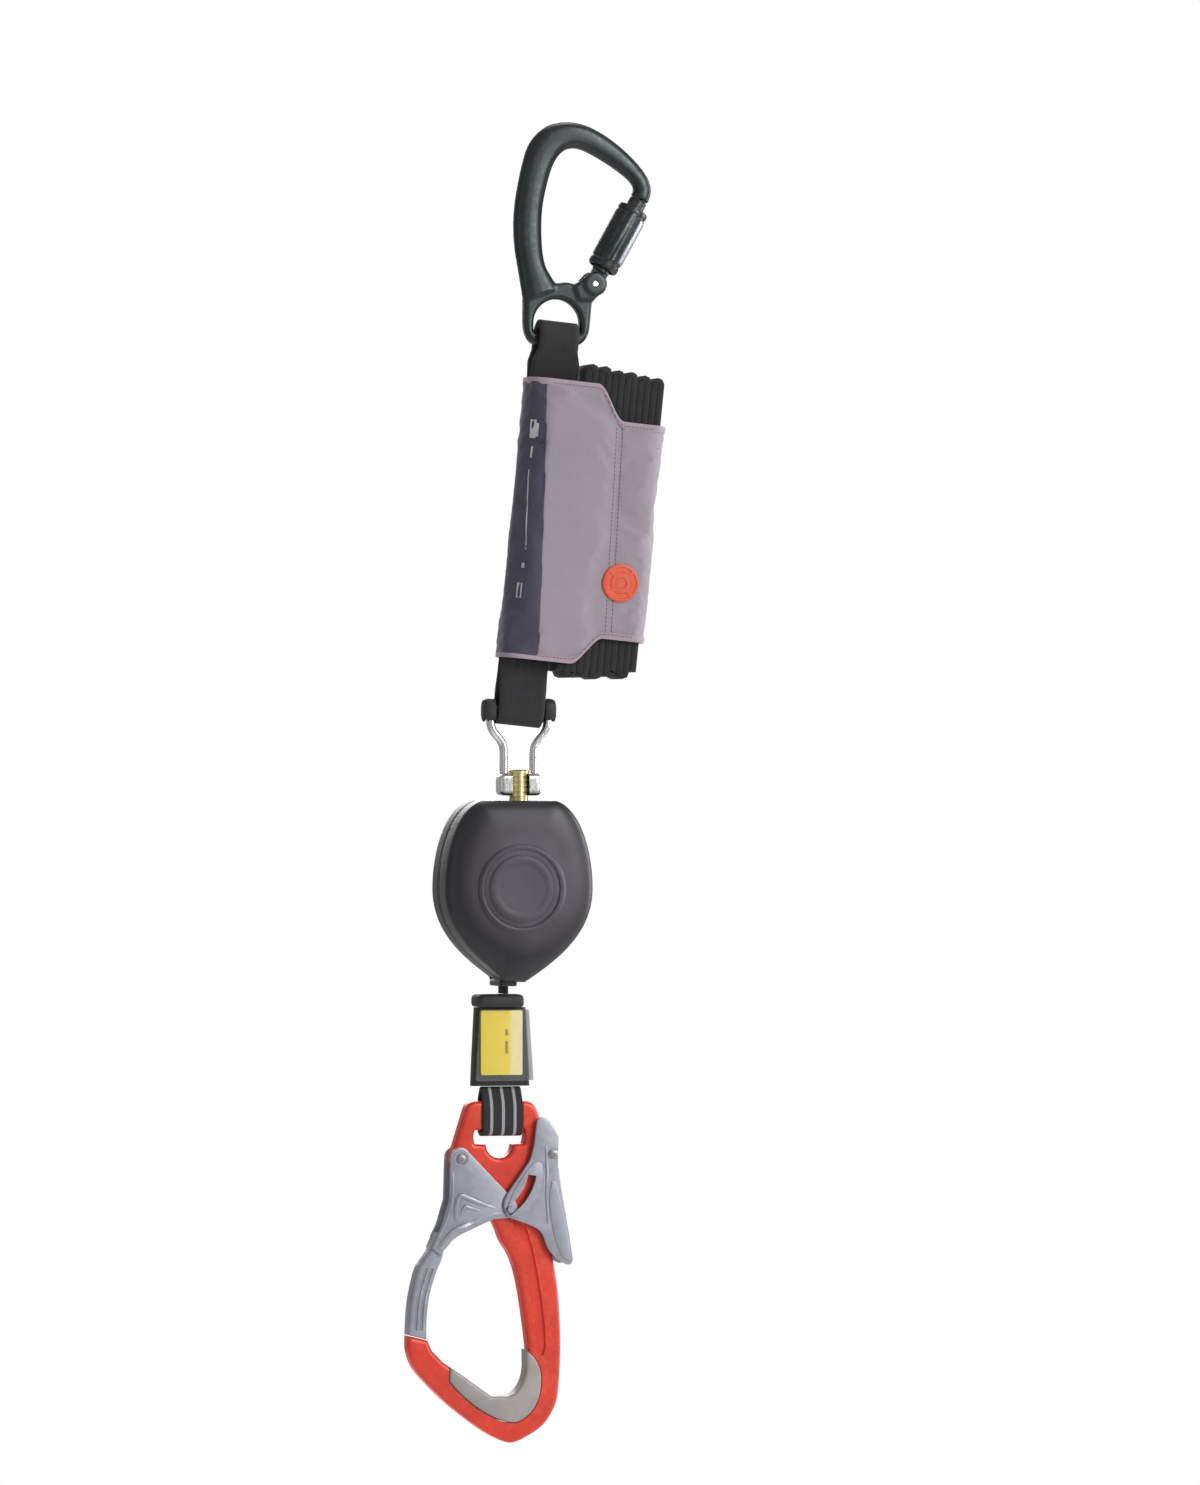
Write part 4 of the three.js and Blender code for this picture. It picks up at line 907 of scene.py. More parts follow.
def simulate_cloth(obj, pinned, cap):
    """Lets slack cloth settle between its pinned seams, and keeps each point within cap of where it began."""
    start = [v.co.copy() for v in obj.data.vertices]
    group = obj.vertex_groups.new(name="seams")
    group.add(pinned, 1.0, "REPLACE")
    cloth = obj.modifiers.new("cloth", "CLOTH")
    settings = cloth.settings
    for key, value in {
        "quality": 6, "mass": 0.25, "tension_stiffness": 12, "compression_stiffness": 12,
        "shear_stiffness": 4, "bending_stiffness": 0.35, "shrink_min": -0.022,
        "vertex_group_mass": "seams", "use_pressure": True, "uniform_pressure_force": 1.4,
    }.items():
        setattr(settings, key, value)
    settings.effector_weights.gravity = 0
    cloth.collision_settings.use_collision = False
    cloth.collision_settings.use_self_collision = False
    cloth.point_cache.frame_start = 1
    cloth.point_cache.frame_end = 30
    for number in range(1, 27):
        bpy.context.scene.frame_set(number)
    apply_modifiers(obj)
    bpy.context.scene.frame_set(1)
    for vertex, origin in zip(obj.data.vertices, start):
        move = vertex.co - origin
        if move.length > cap * MM:
            vertex.co = origin + move.normalized() * cap * MM
    obj.vertex_groups.clear()


def sewn_layer(name, points, faces, thickness, offset):
    """A layer of cloth with a thickness, smoothed between its points."""
    obj = build(name, points, faces, PACK, 50)
    solid = obj.modifiers.new("thickness", "SOLIDIFY")
    solid.thickness = thickness * MM
    solid.offset = offset
    smooth = obj.modifiers.new("smooth", "SUBSURF")
    smooth.levels = smooth.render_levels = 1
    apply_modifiers(obj)
    obj.data.shade_smooth()
    return obj


def cover():
    """The nylon cover: a sewn flat tube with hems, a long seam, and a panel round its left side, dark with painted
    shade.
    """
    columns, rows = 108, 80
    ring = cover_ring(columns)
    points, seam = [], []
    for row in range(rows + 1):
        t = row / rows
        points += [Vector((p.x, p.y, cover_top(p.x) + (cover_foot(p.x) - cover_top(p.x)) * t)) for p in ring]
        seam += [SEAM_TOP + (SEAM_FOOT - SEAM_TOP) * t] * columns
    faces = []
    for row in range(rows):
        for k in range(columns):
            a, b = row * columns + k, row * columns + (k + 1) % columns
            faces.append((a, b, b + columns, a + columns))
    cloth = build("cloth", points, faces, PACK)
    pinned = []
    for i, p in enumerate(points):
        row = i // columns
        on_seam = abs(p.x - seam[i]) < 1.2 and abs(p.y) > 15
        on_side = abs(p.y) < 4
        under_badge = math.hypot(p.x - BADGE_X, p.z - BADGE_Z) < 14 and p.y < -15
        if row < 2 or row > rows - 2 or on_seam or on_side or under_badge:
            pinned.append(i)
    simulate_cloth(cloth, pinned, 2.6)
    grid = [PACK.inverted() @ v.co / MM for v in cloth.data.vertices]
    for i, p in enumerate(points):
        beside_badge = math.hypot(p.x - BADGE_X, p.z - BADGE_Z) > 12 or p.y > 0
        dip = math.exp(-(((p.x - seam[i]) / 1.0) ** 2)) if abs(p.y) > 14 and beside_badge else 0
        grid[i].y -= math.copysign(0.7 * dip, p.y)
    bpy.data.objects.remove(cloth)

    skin = sewn_layer("cover_skin", grid, faces, 0.9, -1)
    dress(skin, "cover_fabric", BODY_PACK, "absorber_cover")
    side_panel(grid, columns, rows)


def side_panel(grid, columns, rows):
    """The panel is a second layer sewn on over the cover's left side; its dark colour is painted shade where that
    side turns from the light.
    """
    def edge(z):
        return -7 + 11 * (-26 - z) / 165.5

    kept, faces, index = [], [], {}
    for row in range(rows):
        for k in range(columns):
            corners = [row * columns + k, row * columns + (k + 1) % columns]
            corners = [*corners, corners[1] + columns, corners[0] + columns]
            middle = sum((grid[c] for c in corners), Vector()) / 4
            if middle.x < edge(middle.z) and -26.3 > middle.z > -191.2:
                faces.append(corners)
    for face in faces:
        for c in face:
            if c not in index:
                index[c] = len(kept)
                kept.append(c)
    points = []
    for c in kept:
        p = grid[c].copy()
        lift = Vector((min(0.0, p.x + 3.3), p.y, 0)).normalized()
        limit = edge(p.z)
        if abs(p.x - limit) < 2.0 and abs(p.y) > 12:
            p.x = limit
        points.append(p + lift * 0.55)
    panel = sewn_layer("side_panel", points, [tuple(index[c] for c in face) for face in faces], 0.6, 0)
    dress(panel, "panel_fabric", BODY_PACK, "cover_side_panel")


def hems():
    """Folded hems along the cover's two open ends, and its stitching."""
    ring = cover_ring(150)
    section = [(a + 0.25, b) for a, b in ellipse(0.55, 2.0, 12, 0.7)]
    bands = []
    for edge, inward in ((cover_top, -1), (cover_foot, 1)):
        path = [(p.x, p.y, edge(p.x) + inward * 1.9) for p in ring]
        rings, count = [], len(path)
        for i, point in enumerate(path):
            ahead = Vector(path[(i + 1) % count]) - Vector(path[i - 1])
            outward = Vector((ahead.y, -ahead.x, 0)).normalized()
            rings.append([Vector(point) + outward * a + Vector((0, 0, b)) for a, b in section])
        bands.append(loft("hem", rings, PACK, closed=True, angle=60))
    hem = merge("cover_hems", *bands)
    dress(hem, "hem_fabric", BODY_PACK, slot="cover_fabric")
    runs = []
    for edge, inward in ((cover_top, -1), (cover_foot, 1)):
        for face in (-1, 1):
            xs = [COVER_LEFT + LEFT_ROUND + k * 2.3 for k in range(29)]
            runs.append([(x, face * (COVER_HALF + 0.95), edge(x) + inward * 2.6) for x in xs])
    skin = bpy.data.objects["cover_skin"]
    for face in (-1, 1):
        for shift in (-1.9, 1.9):
            start, end = ((x + shift, face * COVER_HALF, z) for x, z in ((SEAM_TOP, -49), (SEAM_FOOT, -172)))
            runs.append(settle(dashes(start, end, 2.5), skin, 0.1))
    thread = stitches("cover_stitches", runs, 0.42, PACK)
    dress(thread, "thread", BODY_PACK, slot="cover_fabric")


def settle(points, surface, lift):
    """Lays points on a cloth surface, seen from outside the pack, and lifts them a little off it."""
    mesh = surface.data
    tree = BVHTree.FromPolygons([v.co for v in mesh.vertices], [tuple(f.vertices) for f in mesh.polygons])
    laid = []
    for point in points:
        p = Vector(point)
        centre = Vector((max(COVER_LEFT + LEFT_ROUND, min(p.x, COVER_RIGHT - RIGHT_ROUND)), 0, p.z))
        out = (p - centre).normalized()
        start = PACK @ ((p + out * 9) * MM)
        inward = PACK.to_3x3() @ -out
        hit = tree.ray_cast(start, inward, 16 * MM)[0]
        laid.append((PACK.inverted() @ hit) / MM + out * lift if hit else p)
    return laid


def badge():
    """A round moulded badge with a plain generic mark."""
    low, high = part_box("cover_badge")
    centre = PACK.inverted() @ ((Vector(low) + Vector(high)) / 2)
    here = PACK @ Matrix.Translation((centre.x, 0, centre.z)) @ Matrix.Rotation(math.pi / 2, 4, "X")
    face = COVER_HALF + 1.7
    profile = [
        (0, -2.2), (11.0, -2.2), (11.4, -1.2), (11.2, -0.2), (10.6, 0), (9.6, 0), (9.2, -0.5), (6.6, -0.5),
        (6.2, 0), (3.4, 0.1), (3.0, -0.4), (0, -0.4),
    ]
    disc = turned("badge_disc", [(r, face + h) for r, h in profile], here, 64)
    bars = []
    for k in range(4):
        turn = here @ Matrix.Rotation(math.pi / 4 + k * math.pi / 2, 4, "Z")
        ring = rectangle(6.0, 9.8, -1.1, 1.1, 0.5)
        rings = [[(x, z, h) for x, z in ring] for h in (face - 1, face - 0.05)]
        bars.append(loft("bar", rings, turn))
    obj = combine(disc, bars, "UNION")
    obj.name = "round_badge"
    dress(obj, "badge", BODY_PACK, "cover_badge")


def panel_print():
    """Plain printed lines down the side panel, in place of lettering."""
    pieces = []
    panel = bpy.data.objects["side_panel"]
    radius = LEFT_ROUND + 1.15
    steps = 14

    def on_side(angle, z):
        a = math.radians(angle)
        x, y = LEFT_ROUND - radius * math.cos(a), LEFT_ROUND - radius * math.sin(a)
        return Vector((COVER_LEFT + x, -COVER_HALF + y, z))

    def line(start, end, width):
        rings = []
        for k in range(steps + 1):
            t = k / steps
            angle, z = start[0] + (end[0] - start[0]) * t, start[1] + (end[1] - start[1]) * t
            half = math.degrees(width / 2 / radius)
            a, b = settle([on_side(angle - half, z), on_side(angle + half, z)], panel, 0.12)
            out = Vector((math.cos(math.radians(angle)), math.sin(math.radians(angle)), 0)) * 0.3
            rings.append([a, b, b + out, a + out])
        return loft("print", rings, PACK)

    for stroke in (
        ((44, -80), (60, -128), 0.8), ((47, -73), (47, -66), 1.3), ((44, -50), (44, -61), 4.6),
        ((58, -52), (58, -60), 2.0), ((56, -136), (56, -139), 2.2), ((52, -148), (52, -157), 3.8),
    ):
        pieces.append(line(*stroke))
    marks = merge("panel_print", *pieces)
    dress(marks, "white_print", BODY_PACK, slot="panel_fabric")


strap_loops()
tear_webbing()
cover()
hems()
badge()
panel_print()

# ---- Shackle and swivel -------------------------------------------------------------------------------

BODY_SHACKLE = "swivel_shackle"


def shackle():
    """A cast steel shackle: two legs from the cross pin to a base that holds the swivel bolt."""
    legs = []
    for side in (-1, 1):
        curve = bezier((17.4, -7), (16.6, -15), (9.4, -15), (9.2, -24), 12)
        run = [(17.7, 4.6), (17.6, 0), (17.5, -5), *curve, (9.2, -31), (9.2, -40.5)]
        path = [(side * x, 0, z) for x, z in run]
        legs.append(sweep("leg", path, ellipse(2.15, 4.5, 16, 0.62), SHACKLE))
    profile = [(0, -2.1), (5.2, -2.1), (5.8, -1.4), (5.8, 1.4), (5.2, 2.1), (0, 2.1)]
    ears = [turned("ear", profile, SHACKLE @ spot(side * 17.7, 0) @ ALONG_X, 32) for side in (-1, 1)]
    base = plate("base", rectangle(-13, 13, -50.5, -37.5, 3.4), -6.5, 6.5, 2.2, (), 4, SHACKLE)
    body = forge(combine(base, legs + ears, "UNION"), 0.55, 4)
    carve(
        body,
        bore(3.6, 25, SHACKLE @ ALONG_X, 32),
        turned("bore", [(0, -52), (6.05, -52), (6.05, -36), (0, -36)], SHACKLE, 40),
        plate("window", rectangle(-5.2, 5.2, -52, -36, 0.4), -9, 0, 0.1, (), 1, SHACKLE),
    )
    body.name = "shackle_casting"
    dress(body, "steel", BODY_SHACKLE, "shackle_bow")
    end = [(3.3, 20.1), (4.7, 20.2), (4.7, 21.0), (3.9, 21.6), (0, 21.6)]
    pin = turned("cross_pin", [(r, -h) for r, h in reversed(end)] + end, SHACKLE @ ALONG_X, 40)
    dress(pin, "burnished_steel", BODY_SHACKLE, "shackle_cross_pin", slot="steel")
    for name, side in (("ear_boot_left", -1), ("ear_boot_right", 1)):
        rings = []
        for x, grow in ((15.0, -1.2), (15.2, -0.2), (16.4, 0.2), (19.6, 0.2), (21.6, -0.6), (22.2, -2.0)):
            section = rectangle(-6.5 - grow, 6.5 + grow, -6.8 - grow, 7.4 + grow, 5.6)
            rings.append([(side * x, y, z) for y, z in section])
        boot = loft(name, rings, SHACKLE, angle=60)
        hollow = [[(side * x, y, z) for y, z in rectangle(-5.4, 5.4, -12, 6.6, 3.0)] for x in (15.5, 21.4)]
        carve(boot, loft("hollow", hollow, SHACKLE))
        boot.name = name
        dress(boot, "drum_plastic", BODY_SHACKLE)


def swivel_bolt():
    """The brass bolt that the housing turns on, grooved like a thread."""
    x = CROSS_PIN.x / MM
    low, high = (v[2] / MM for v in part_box("swivel_bolt"))
    place = spot(x, 0)
    profile = [(0, high), (5.6, high), (6.4, high - 0.7), (6.4, high - 2.2), (5.7, high - 2.3)]
    groove = high - 4
    while groove > high - 26:
        profile += [(5.7, groove), (5.35, groove - 0.35), (5.35, groove - 0.75), (5.7, groove - 1.1)]
        groove -= 3.0
    shoulder = low + 7.6
    profile += [(5.7, shoulder + 0.4), (4.5, shoulder), (4.5, low + 0.5), (4.0, low), (0, low)]
    bolt = turned("brass_swivel", profile, place, 48)
    dress(bolt, "brass", "retractor_housing", "swivel_bolt")


shackle()
swivel_bolt()

# ---- Retractor housing --------------------------------------------------------------------------------

BODY_HOUSING = "retractor_housing"
SHELL_TOP = 52.5
SWIVEL_X = CROSS_PIN.x / MM - DRUM.x / MM
NOZZLE_X = -5.5
SCREWS = [(-25, 41.5), (25, 41.5), (-21, -38.5), (21, -38.5)]


def shield():
    """The housing's outline about the drum's axis, from its top right clockwise."""
    steps = 22
    shoulder = bezier((23, SHELL_TOP), (38, 48), (45.5, 22), (45.5, 0), steps)
    right = shoulder[:-1] + bezier((45.5, 0), (45.5, -27), (24, -43), (3.5, -56), steps)
    left = [Vector((-9.5, -55.6))] + bezier((-10.6, -53), (-24, -43), (-45.5, -28), (-45.5, 0), steps)
    left += [Vector((-p.x, p.y)) for p in reversed(shoulder[:-1])]
    top = [Vector((-23 + 46 * k / 10, SHELL_TOP)) for k in range(1, 10)]
    return right + left + top


def shell_rings(side, depth, dome, crown, inset=0.0):
    """Rings of the outline from the parting line out over the dome. Inset rings line the inside."""
    ring = shield()
    rings = []

    def add(scale, y):
        squeeze = scale - inset / 45
        rings.append([(p.x * squeeze, side * y, p.y * squeeze) for p in ring])

    lip = 0.15 if not inset else -0.5
    add(1.0, lip)
    if not inset:
        add(1.0, lip + 0.5)
        add(0.994, lip + 0.9)
        add(0.994, lip + 1.7)
        add(1.0, lip + 2.2)
    for y in (4, 8, 12):
        add(1.0, min(y, depth - 1.0 - inset))
    for k in range(0, 13):
        angle = math.radians(k * 7.5)
        add(1 - 0.40 * (1 - math.cos(angle)) ** 1.05, depth - inset + dome * math.sin(angle))
    last = depth - inset + dome
    for scale, rise in ((0.5, 0.45), (0.4, 0.75), (0.25, 1.0), (0.1, 1.1)):
        add(scale + inset / 45 * (1 - scale), last + (crown * rise if not inset else 0))
    return rings


def shell(name, side, depth, dome, crown):
    """One hollow half of the housing, open for the nozzle and the swivel bolt."""
    outer = loft(name, shell_rings(side, depth, dome, crown), HOUSING, angle=50)
    inner = loft("inner", shell_rings(side, depth, dome, crown, 2.4), HOUSING)
    outlet = rectangle(NOZZLE_X - 4.9, NOZZLE_X + 4.9, -60, -40, 0.5)
    spout = plate("outlet", outlet, -13.4, 13.4, 0.2, (), 1, HOUSING)
    bolt = turned("bolt_cut", [(0, 40), (6.1, 40), (6.1, 60), (0, 60)], HOUSING @ spot(SWIVEL_X, 0), 32)
    return carve(outer, inner, spout, bolt)


def housing():
    """The two shells, the front one with its raised ring and dish, and the rear one's four screws."""
    front = shell("housing_front", -1, 16.2, 7.4, 1.0)
    face = 24.2
    here = HOUSING @ Matrix.Rotation(math.pi / 2, 4, "X")
    rim = [
        (23.0, -2.5), (23.0, -0.1), (23.5, 0.75), (24.6, 1.15), (25.6, 1.0), (26.6, 0.3), (27.2, -0.4),
        (27.4, -2.5),
    ]
    relief = [
        (0, -2), (20.4, -2), (20.4, 0.2), (19.9, 0.75), (18.8, 1.05), (15.6, 1.2), (14.6, 0.85), (13.6, 0.8),
        (0, 0.9),
    ]
    raised = [turned("raised", [(r, face + h) for r, h in line], here, 96, 50) for line in (rim, relief)]
    combine(front, raised, "UNION")
    front.name = "housing_front"
    dress(front, "housing_plastic", BODY_HOUSING, "front_cover")

    rear = shell("housing_rear", 1, 15.0, 4.83, 0.0)
    places = [HOUSING @ spot(x, z) @ ALONG_Y for x, z in SCREWS]
    well = [(0, 14.2), (3.6, 14.2), (3.6, 30), (0, 30)]
    carve(rear, *[turned("well", well, here, 24) for here in places])
    rear.name = "housing_rear"
    dress(rear, "housing_plastic", BODY_HOUSING, "rear_cover")
    profile = [
        (0, -11.8), (1.6, -11.8), (1.6, 14.4), (3.0, 14.4), (3.2, 14.7), (3.2, 15.6), (2.7, 16.3),
        (1.4, 16.4), (1.4, 15.2), (0, 15.2),
    ]
    for i, here in enumerate(places):
        screw = turned(f"screw_{i + 1}", profile, here, 28)
        dress(screw, "steel", BODY_HOUSING, f"cover_screw_{i + 1}")


def block(name, levels, radius, place, angle=35):
    """A rounded block whose half width and half depth are given at each height."""
    rings = [[(x, y, z) for x, y in rectangle(-a, a, -b, b, radius)] for z, a, b in levels]
    return loft(name, rings, place, angle=angle)


def nozzle():
    """The webbing's outlet: a narrow spout with a flared lip."""
    here = HOUSING @ spot(NOZZLE_X, 0)
    levels = [
        (-47, 4.3, 12.8), (-53.5, 4.3, 12.8), (-54.6, 4.6, 13.1), (-55.6, 5.3, 13.9), (-57.6, 5.3, 13.9),
        (-58.4, 4.8, 13.4),
    ]
    spout = block("spout", levels, 2.0, here)
    carve(spout, block("slot", [(-70, 1.7, 10.8), (-30, 1.7, 10.8)], 0.8, here))
    spout.name = "outlet_spout"
    dress(spout, "housing_plastic", BODY_HOUSING, "webbing_nozzle")


housing()
nozzle()

# ---- Line end -----------------------------------------------------------------------------------------

BODY_LINE = "line_end"
SLEEVE_TOP, SLEEVE_FOOT = -515.2, -562.2


def lifeline():
    """The short run of webbing between the outlet and the stop."""
    low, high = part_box("lifeline_strap")
    x, bottom, top = (low[0] + high[0]) / 2 / MM, low[2] / MM, high[2] / MM
    rings = []
    for k in range(13):
        z = top + (bottom - top) * k / 12
        rings.append([(x + a, b, z) for a, b in rectangle(-0.65, 0.65, -10, 10, 0.5)])
    strap = loft("lifeline_webbing", rings, angle=60)
    set_attribute(strap, [(v.co.y / MM, v.co.z / MM) for v in strap.data.vertices])
    dress(strap, "webbing", None, "lifeline_strap")
    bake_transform(strap)


def line_end():
    """The rubber stop, the sewn sleeve with its label, and the clear film over them."""
    swells = ((-507.4, -1.6), (-508.2, -0.4), (-509.5, 0.2), (-512.5, 0.3), (-514.2, 0.0), (-514.9, -0.8))
    stop = block("rubber_stop", [(z, 13.9 + grow, 10.8 + grow) for z, grow in swells], 3.5, LINE, 60)
    dress(stop, "drum_plastic", BODY_LINE, "stop_buffer")

    rings, steps = [], 24
    for k in range(steps + 1):
        t = k / steps
        z = SLEEVE_TOP + (SLEEVE_FOOT - SLEEVE_TOP) * t
        left, right = -14 - 2.4 * t, 16.4 + 2.6 * t
        swell = 6.1 - 0.8 * t + 0.35 * math.sin(math.pi * t) + 0.25 * noise.noise(Vector((t * 9, 0.3, 0)))
        ring = []
        for x, y in rectangle(left, right, -swell, swell, 2.6):
            ring.append((x, y * (1 - 0.16 * (2 * (x - left) / (right - left) - 1) ** 2), z))
        rings.append(ring)
    sleeve = loft("sewn_sleeve", rings, LINE, angle=60)
    set_attribute(sleeve, [(LINE.inverted() @ v.co / MM).xz for v in sleeve.data.vertices])
    dress(sleeve, "webbing", BODY_LINE, "line_sleeve")

    label = plate("label_film", rectangle(-12, 13.6, -555.6, -517, 1.2), -7.15, -6.5, 0.2, (), 1, LINE)
    dress(label, "label", BODY_LINE, "information_label")
    frame_line = rounded([(-13, -516.2), (17.4, -516.2), (20.2, -559.2), (-15.4, -559.2)], 2.0)
    film = plate("clear_cover", frame_line, -8.25, -7.55, 0.3, (), 2, LINE)
    dress(film, "clear_plastic", BODY_LINE, "label_cover")
    edge_line = rounded([(15.2, -516.6), (17.4, -516.6), (20.2, -558.8), (17.4, -558.8)], 0.8)
    edge = plate("welded_edge", edge_line, -8.5, -7.4, 0.3, (), 2, LINE)
    dress(edge, "welded_film", BODY_LINE, slot="clear_plastic")


def end_loop():
    """The lifeline's end loop through the hook's window, striped along its length."""
    side = [(-0.1, 24.7), (-1.5, 24.25), (-2.6, 22.9), (-3.6, 21.2), (-5.2, 18.6), (-6.9, 14.5), (-7.1, 8)]
    down = through([*side, (-7.0, 2.2)], 5)
    bottom = [Vector(p) for p in ((-6.0, -0.8), (-3.6, -2.1), (0, -2.35), (3.6, -2.1), (6.0, -0.8))]
    path = down + bottom + [Vector((-p.x, p.y)) for p in reversed(down)]
    loop = webbing("striped_loop", path, lambda _: 12.4, 2.7, HOOK, centre=LOOP_SHIFT)
    dress(loop, "striped_webbing", "scaffold_hook", "end_webbing_loop", slot="webbing")


lifeline()
line_end()
end_loop()

# ---- Scaffold hook ------------------------------------------------------------------------------------

BODY_HOOK = "scaffold_hook"
GATE_PIVOT = (-24.5, -16.8)
LEVER_PIVOT = (31.7, -14.4)
LOCK_PIN = (5.6, -47.4)
LEVER_RATIO = 0.15
BOWL = [(-44.3, -125.3), (-41.6, -131.4), (-34.6, -138.6), (-24, -145.8), (-14, -153), (-5, -159.4)]


def hook_outline():
    """The red body's outline, from the nose round the back and up, then down its inner side."""
    ring = through([
        (-56.6, -122.3), (-56.4, -131.4), (-53, -141), (-46, -149.6), (-31.5, -163.6), (-13, -177.8),
        (0, -185.2), (8, -187.2), (17, -183.6), (27, -177), (34, -166.5), (36.6, -155), (37.9, -128),
        (36.4, -98), (33, -76), (29.5, -50), (29, -24), (28.6, -4), (23, 12.5),
    ], 5)
    ring += bezier((21.6, 14.6), (19.5, 17.2), (16, 17.4), (13, 17.4), 6)
    ring += bezier((-13, 17.4), (-17, 17.4), (-20, 16.5), (-21, 12.5), 6)
    ring += [Vector((-25.6, -2)), Vector((-29.0, -13))]
    ring += arc(*GATE_PIVOT, 5.3, 170, 245, 6)
    ring += through([
        (-25, -23.4), (-19, -33), (-10, -44.5), (-2.6, -57), (1, -66), (6, -74), (9.6, -83), (12.6, -96),
        (15.4, -114), (17.6, -133), (17.4, -147), (15, -156), (10.4, -161), (4, -162.4), (-1, -161.8),
    ], 4)
    return ring + [Vector(p) for p in reversed(BOWL)]


def window():
    """The hook's opening for the end loop."""
    ring = [Vector((-15, 0)), Vector((15, 0))]
    ring += bezier((15, 0), (16.2, -2.5), (16.2, -5.5), (15, -8.2), 6)[1:]
    ring += arc(0, -8.6, 8.2, 0, -180, 16)
    ring += bezier((-15, -8.2), (-16.2, -5.5), (-16.2, -2.5), (-15, 0), 6)[:-1]
    return ring


def insert_zone(grow):
    """The outline of the bowl's grey insert, grown or shrunk all round."""
    left, right = -31.4 - grow, 26 + grow
    ring = [Vector((-30.6 - grow, -130)), Vector((left, -150))]
    ring += bezier((left, -150), (-18 - grow, -166.6 - grow), (0, -176 - grow), (10, -175.4 - grow), 14)[1:]
    ring += bezier((10, -175.4 - grow), (22, -171.6 - grow), (26.4 + grow, -160), (right, -148), 12)[1:]
    ring += bezier((right, -148), (25, -140), (22, -134 + grow), (12, -129 + grow), 8)[1:]
    return ring + [Vector((0, -120))]


def hook_body():
    """A forged red body with a recessed spine, and the grey bearing face let into its bowl."""
    body = plate("hook_red", hook_outline(), -6, 6, 2.6, [window()], 5, HOOK)
    cuts = []
    recess = through([
        (7.0, -48.0), (11.0, -47.6), (15.6, -57), (19.8, -70), (23.6, -88), (26.6, -108), (28.2, -125),
        (27.7, -132.5), (25.8, -135.5), (24.0, -132), (22.8, -124), (20.6, -108), (17.4, -90), (13.2, -72),
        (8.8, -57), (7.0, -48.0),
    ], 6)[:-1]
    bar = rectangle(LOOP_SHIFT - 13.1, LOOP_SHIFT + 13.1, -0.8, 22, 0.6)
    for face in (-1, 1):
        for shape, depth, bevel, rounds in ((recess, 4.4, 1.1, 4), (bar, 5, 0.1, 1)):
            near, far = sorted((face * depth, face * 9))
            cuts.append(plate("cut", shape, near, far, bevel, (), rounds, HOOK))
    cuts.append(plate("bowl_cut", insert_zone(0.15), -9, 9, 0.1, (), 1, HOOK))
    for pivot in (GATE_PIVOT, LEVER_PIVOT):
        cuts.append(bore(2.2, 9, HOOK @ spot(*pivot) @ ALONG_Y))
    carve(body, *cuts)
    even_normals(body)
    body.name = "hook_red"
    dress(body, "red_aluminium", BODY_HOOK, "hook_body")

    line = insert_zone(-0.15)[1:-3]
    line += through([(16.05, -131.5), (16.1, -137), (16, -144), (14, -151.4), (9.8, -157), (5, -159.4)], 5)
    line += [Vector(p) for p in ((-5, -159.4), (-14, -153), (-24, -145.8), (-30.9, -141.2))]
    zone = plate("bowl_insert", line, -6.7, 6.7, 1.7, (), 5, HOOK)
    dress(zone, "insert_alloy", BODY_HOOK, "hook_bowl_insert")


# The gate's ribs on each cheek: their points with the height above the cheek, and their width.
RIBS = (
    ([(-37.6, -70.5, 0.7), (-34.4, -66, 1.3), (-29, -60.6, 1.4), (-23, -58, 1.2), (-17.6, -55.9, 0.35),
      (-5.4, -51, 0.2), (3.6, -50, 0.1)], 2.3),
    ([(-27.5, -53.6, 0.9), (-27.4, -45, 1.2), (-25.2, -39, 1.2), (-20.4, -40.2, 1.2), (-13, -43.3, 0.9),
      (-8, -45.3, 0.25), (-3.6, -46.8, 0.1)], 1.6),
    ([(-24.5, -50.5, 0.6), (-22.5, -45.6, 1.1), (-19.5, -46, 1.1), (-13, -48, 0.2)], 1.2),
    ([(-29.6, -25, 0.3), (-30, -41, 0.8), (-33.8, -54, 0.9), (-38.6, -64, 0.6)], 1.3),
)
RIB_DEPTH = 1.1


def gate_arm():
    """The arm between the cheeks, with two grooves along each side."""
    outer = [(-38, -61), (-42.4, -70.2), (-47.4, -77.6), (-51.1, -84.6), (-55, -102.6), (-56.4, -121.8)]
    inner = [(-45.2, -124.5), (-45, -112), (-43.2, -98), (-39.2, -84.6), (-35.6, -76), (-33, -61)]
    arm = plate("arm", through(outer, 6) + through(inner, 6), -6.5, 6.5, 1.7, (), 3, HOOK)
    low = through([(-49, -82), (-52.4, -92), (-54.8, -103), (-56.0, -119)], 4)
    high = through([(-38.6, -82.5), (-41.4, -91), (-43.9, -101), (-45.2, -119)], 4)
    grooves = []
    for share in (0.36, 0.68):
        places = [round(k / 11 * (len(low) - 1)) for k in range(12)]
        run = [low[i].lerp(high[i], share) for i in places]
        for face in (-1, 1):
            path = [(p.x, face * 6.9, p.y) for p in run]
            grooves.append(sweep("groove", path, ellipse(0.95, 1.2, 10), HOOK))
    return carve(arm, *grooves)


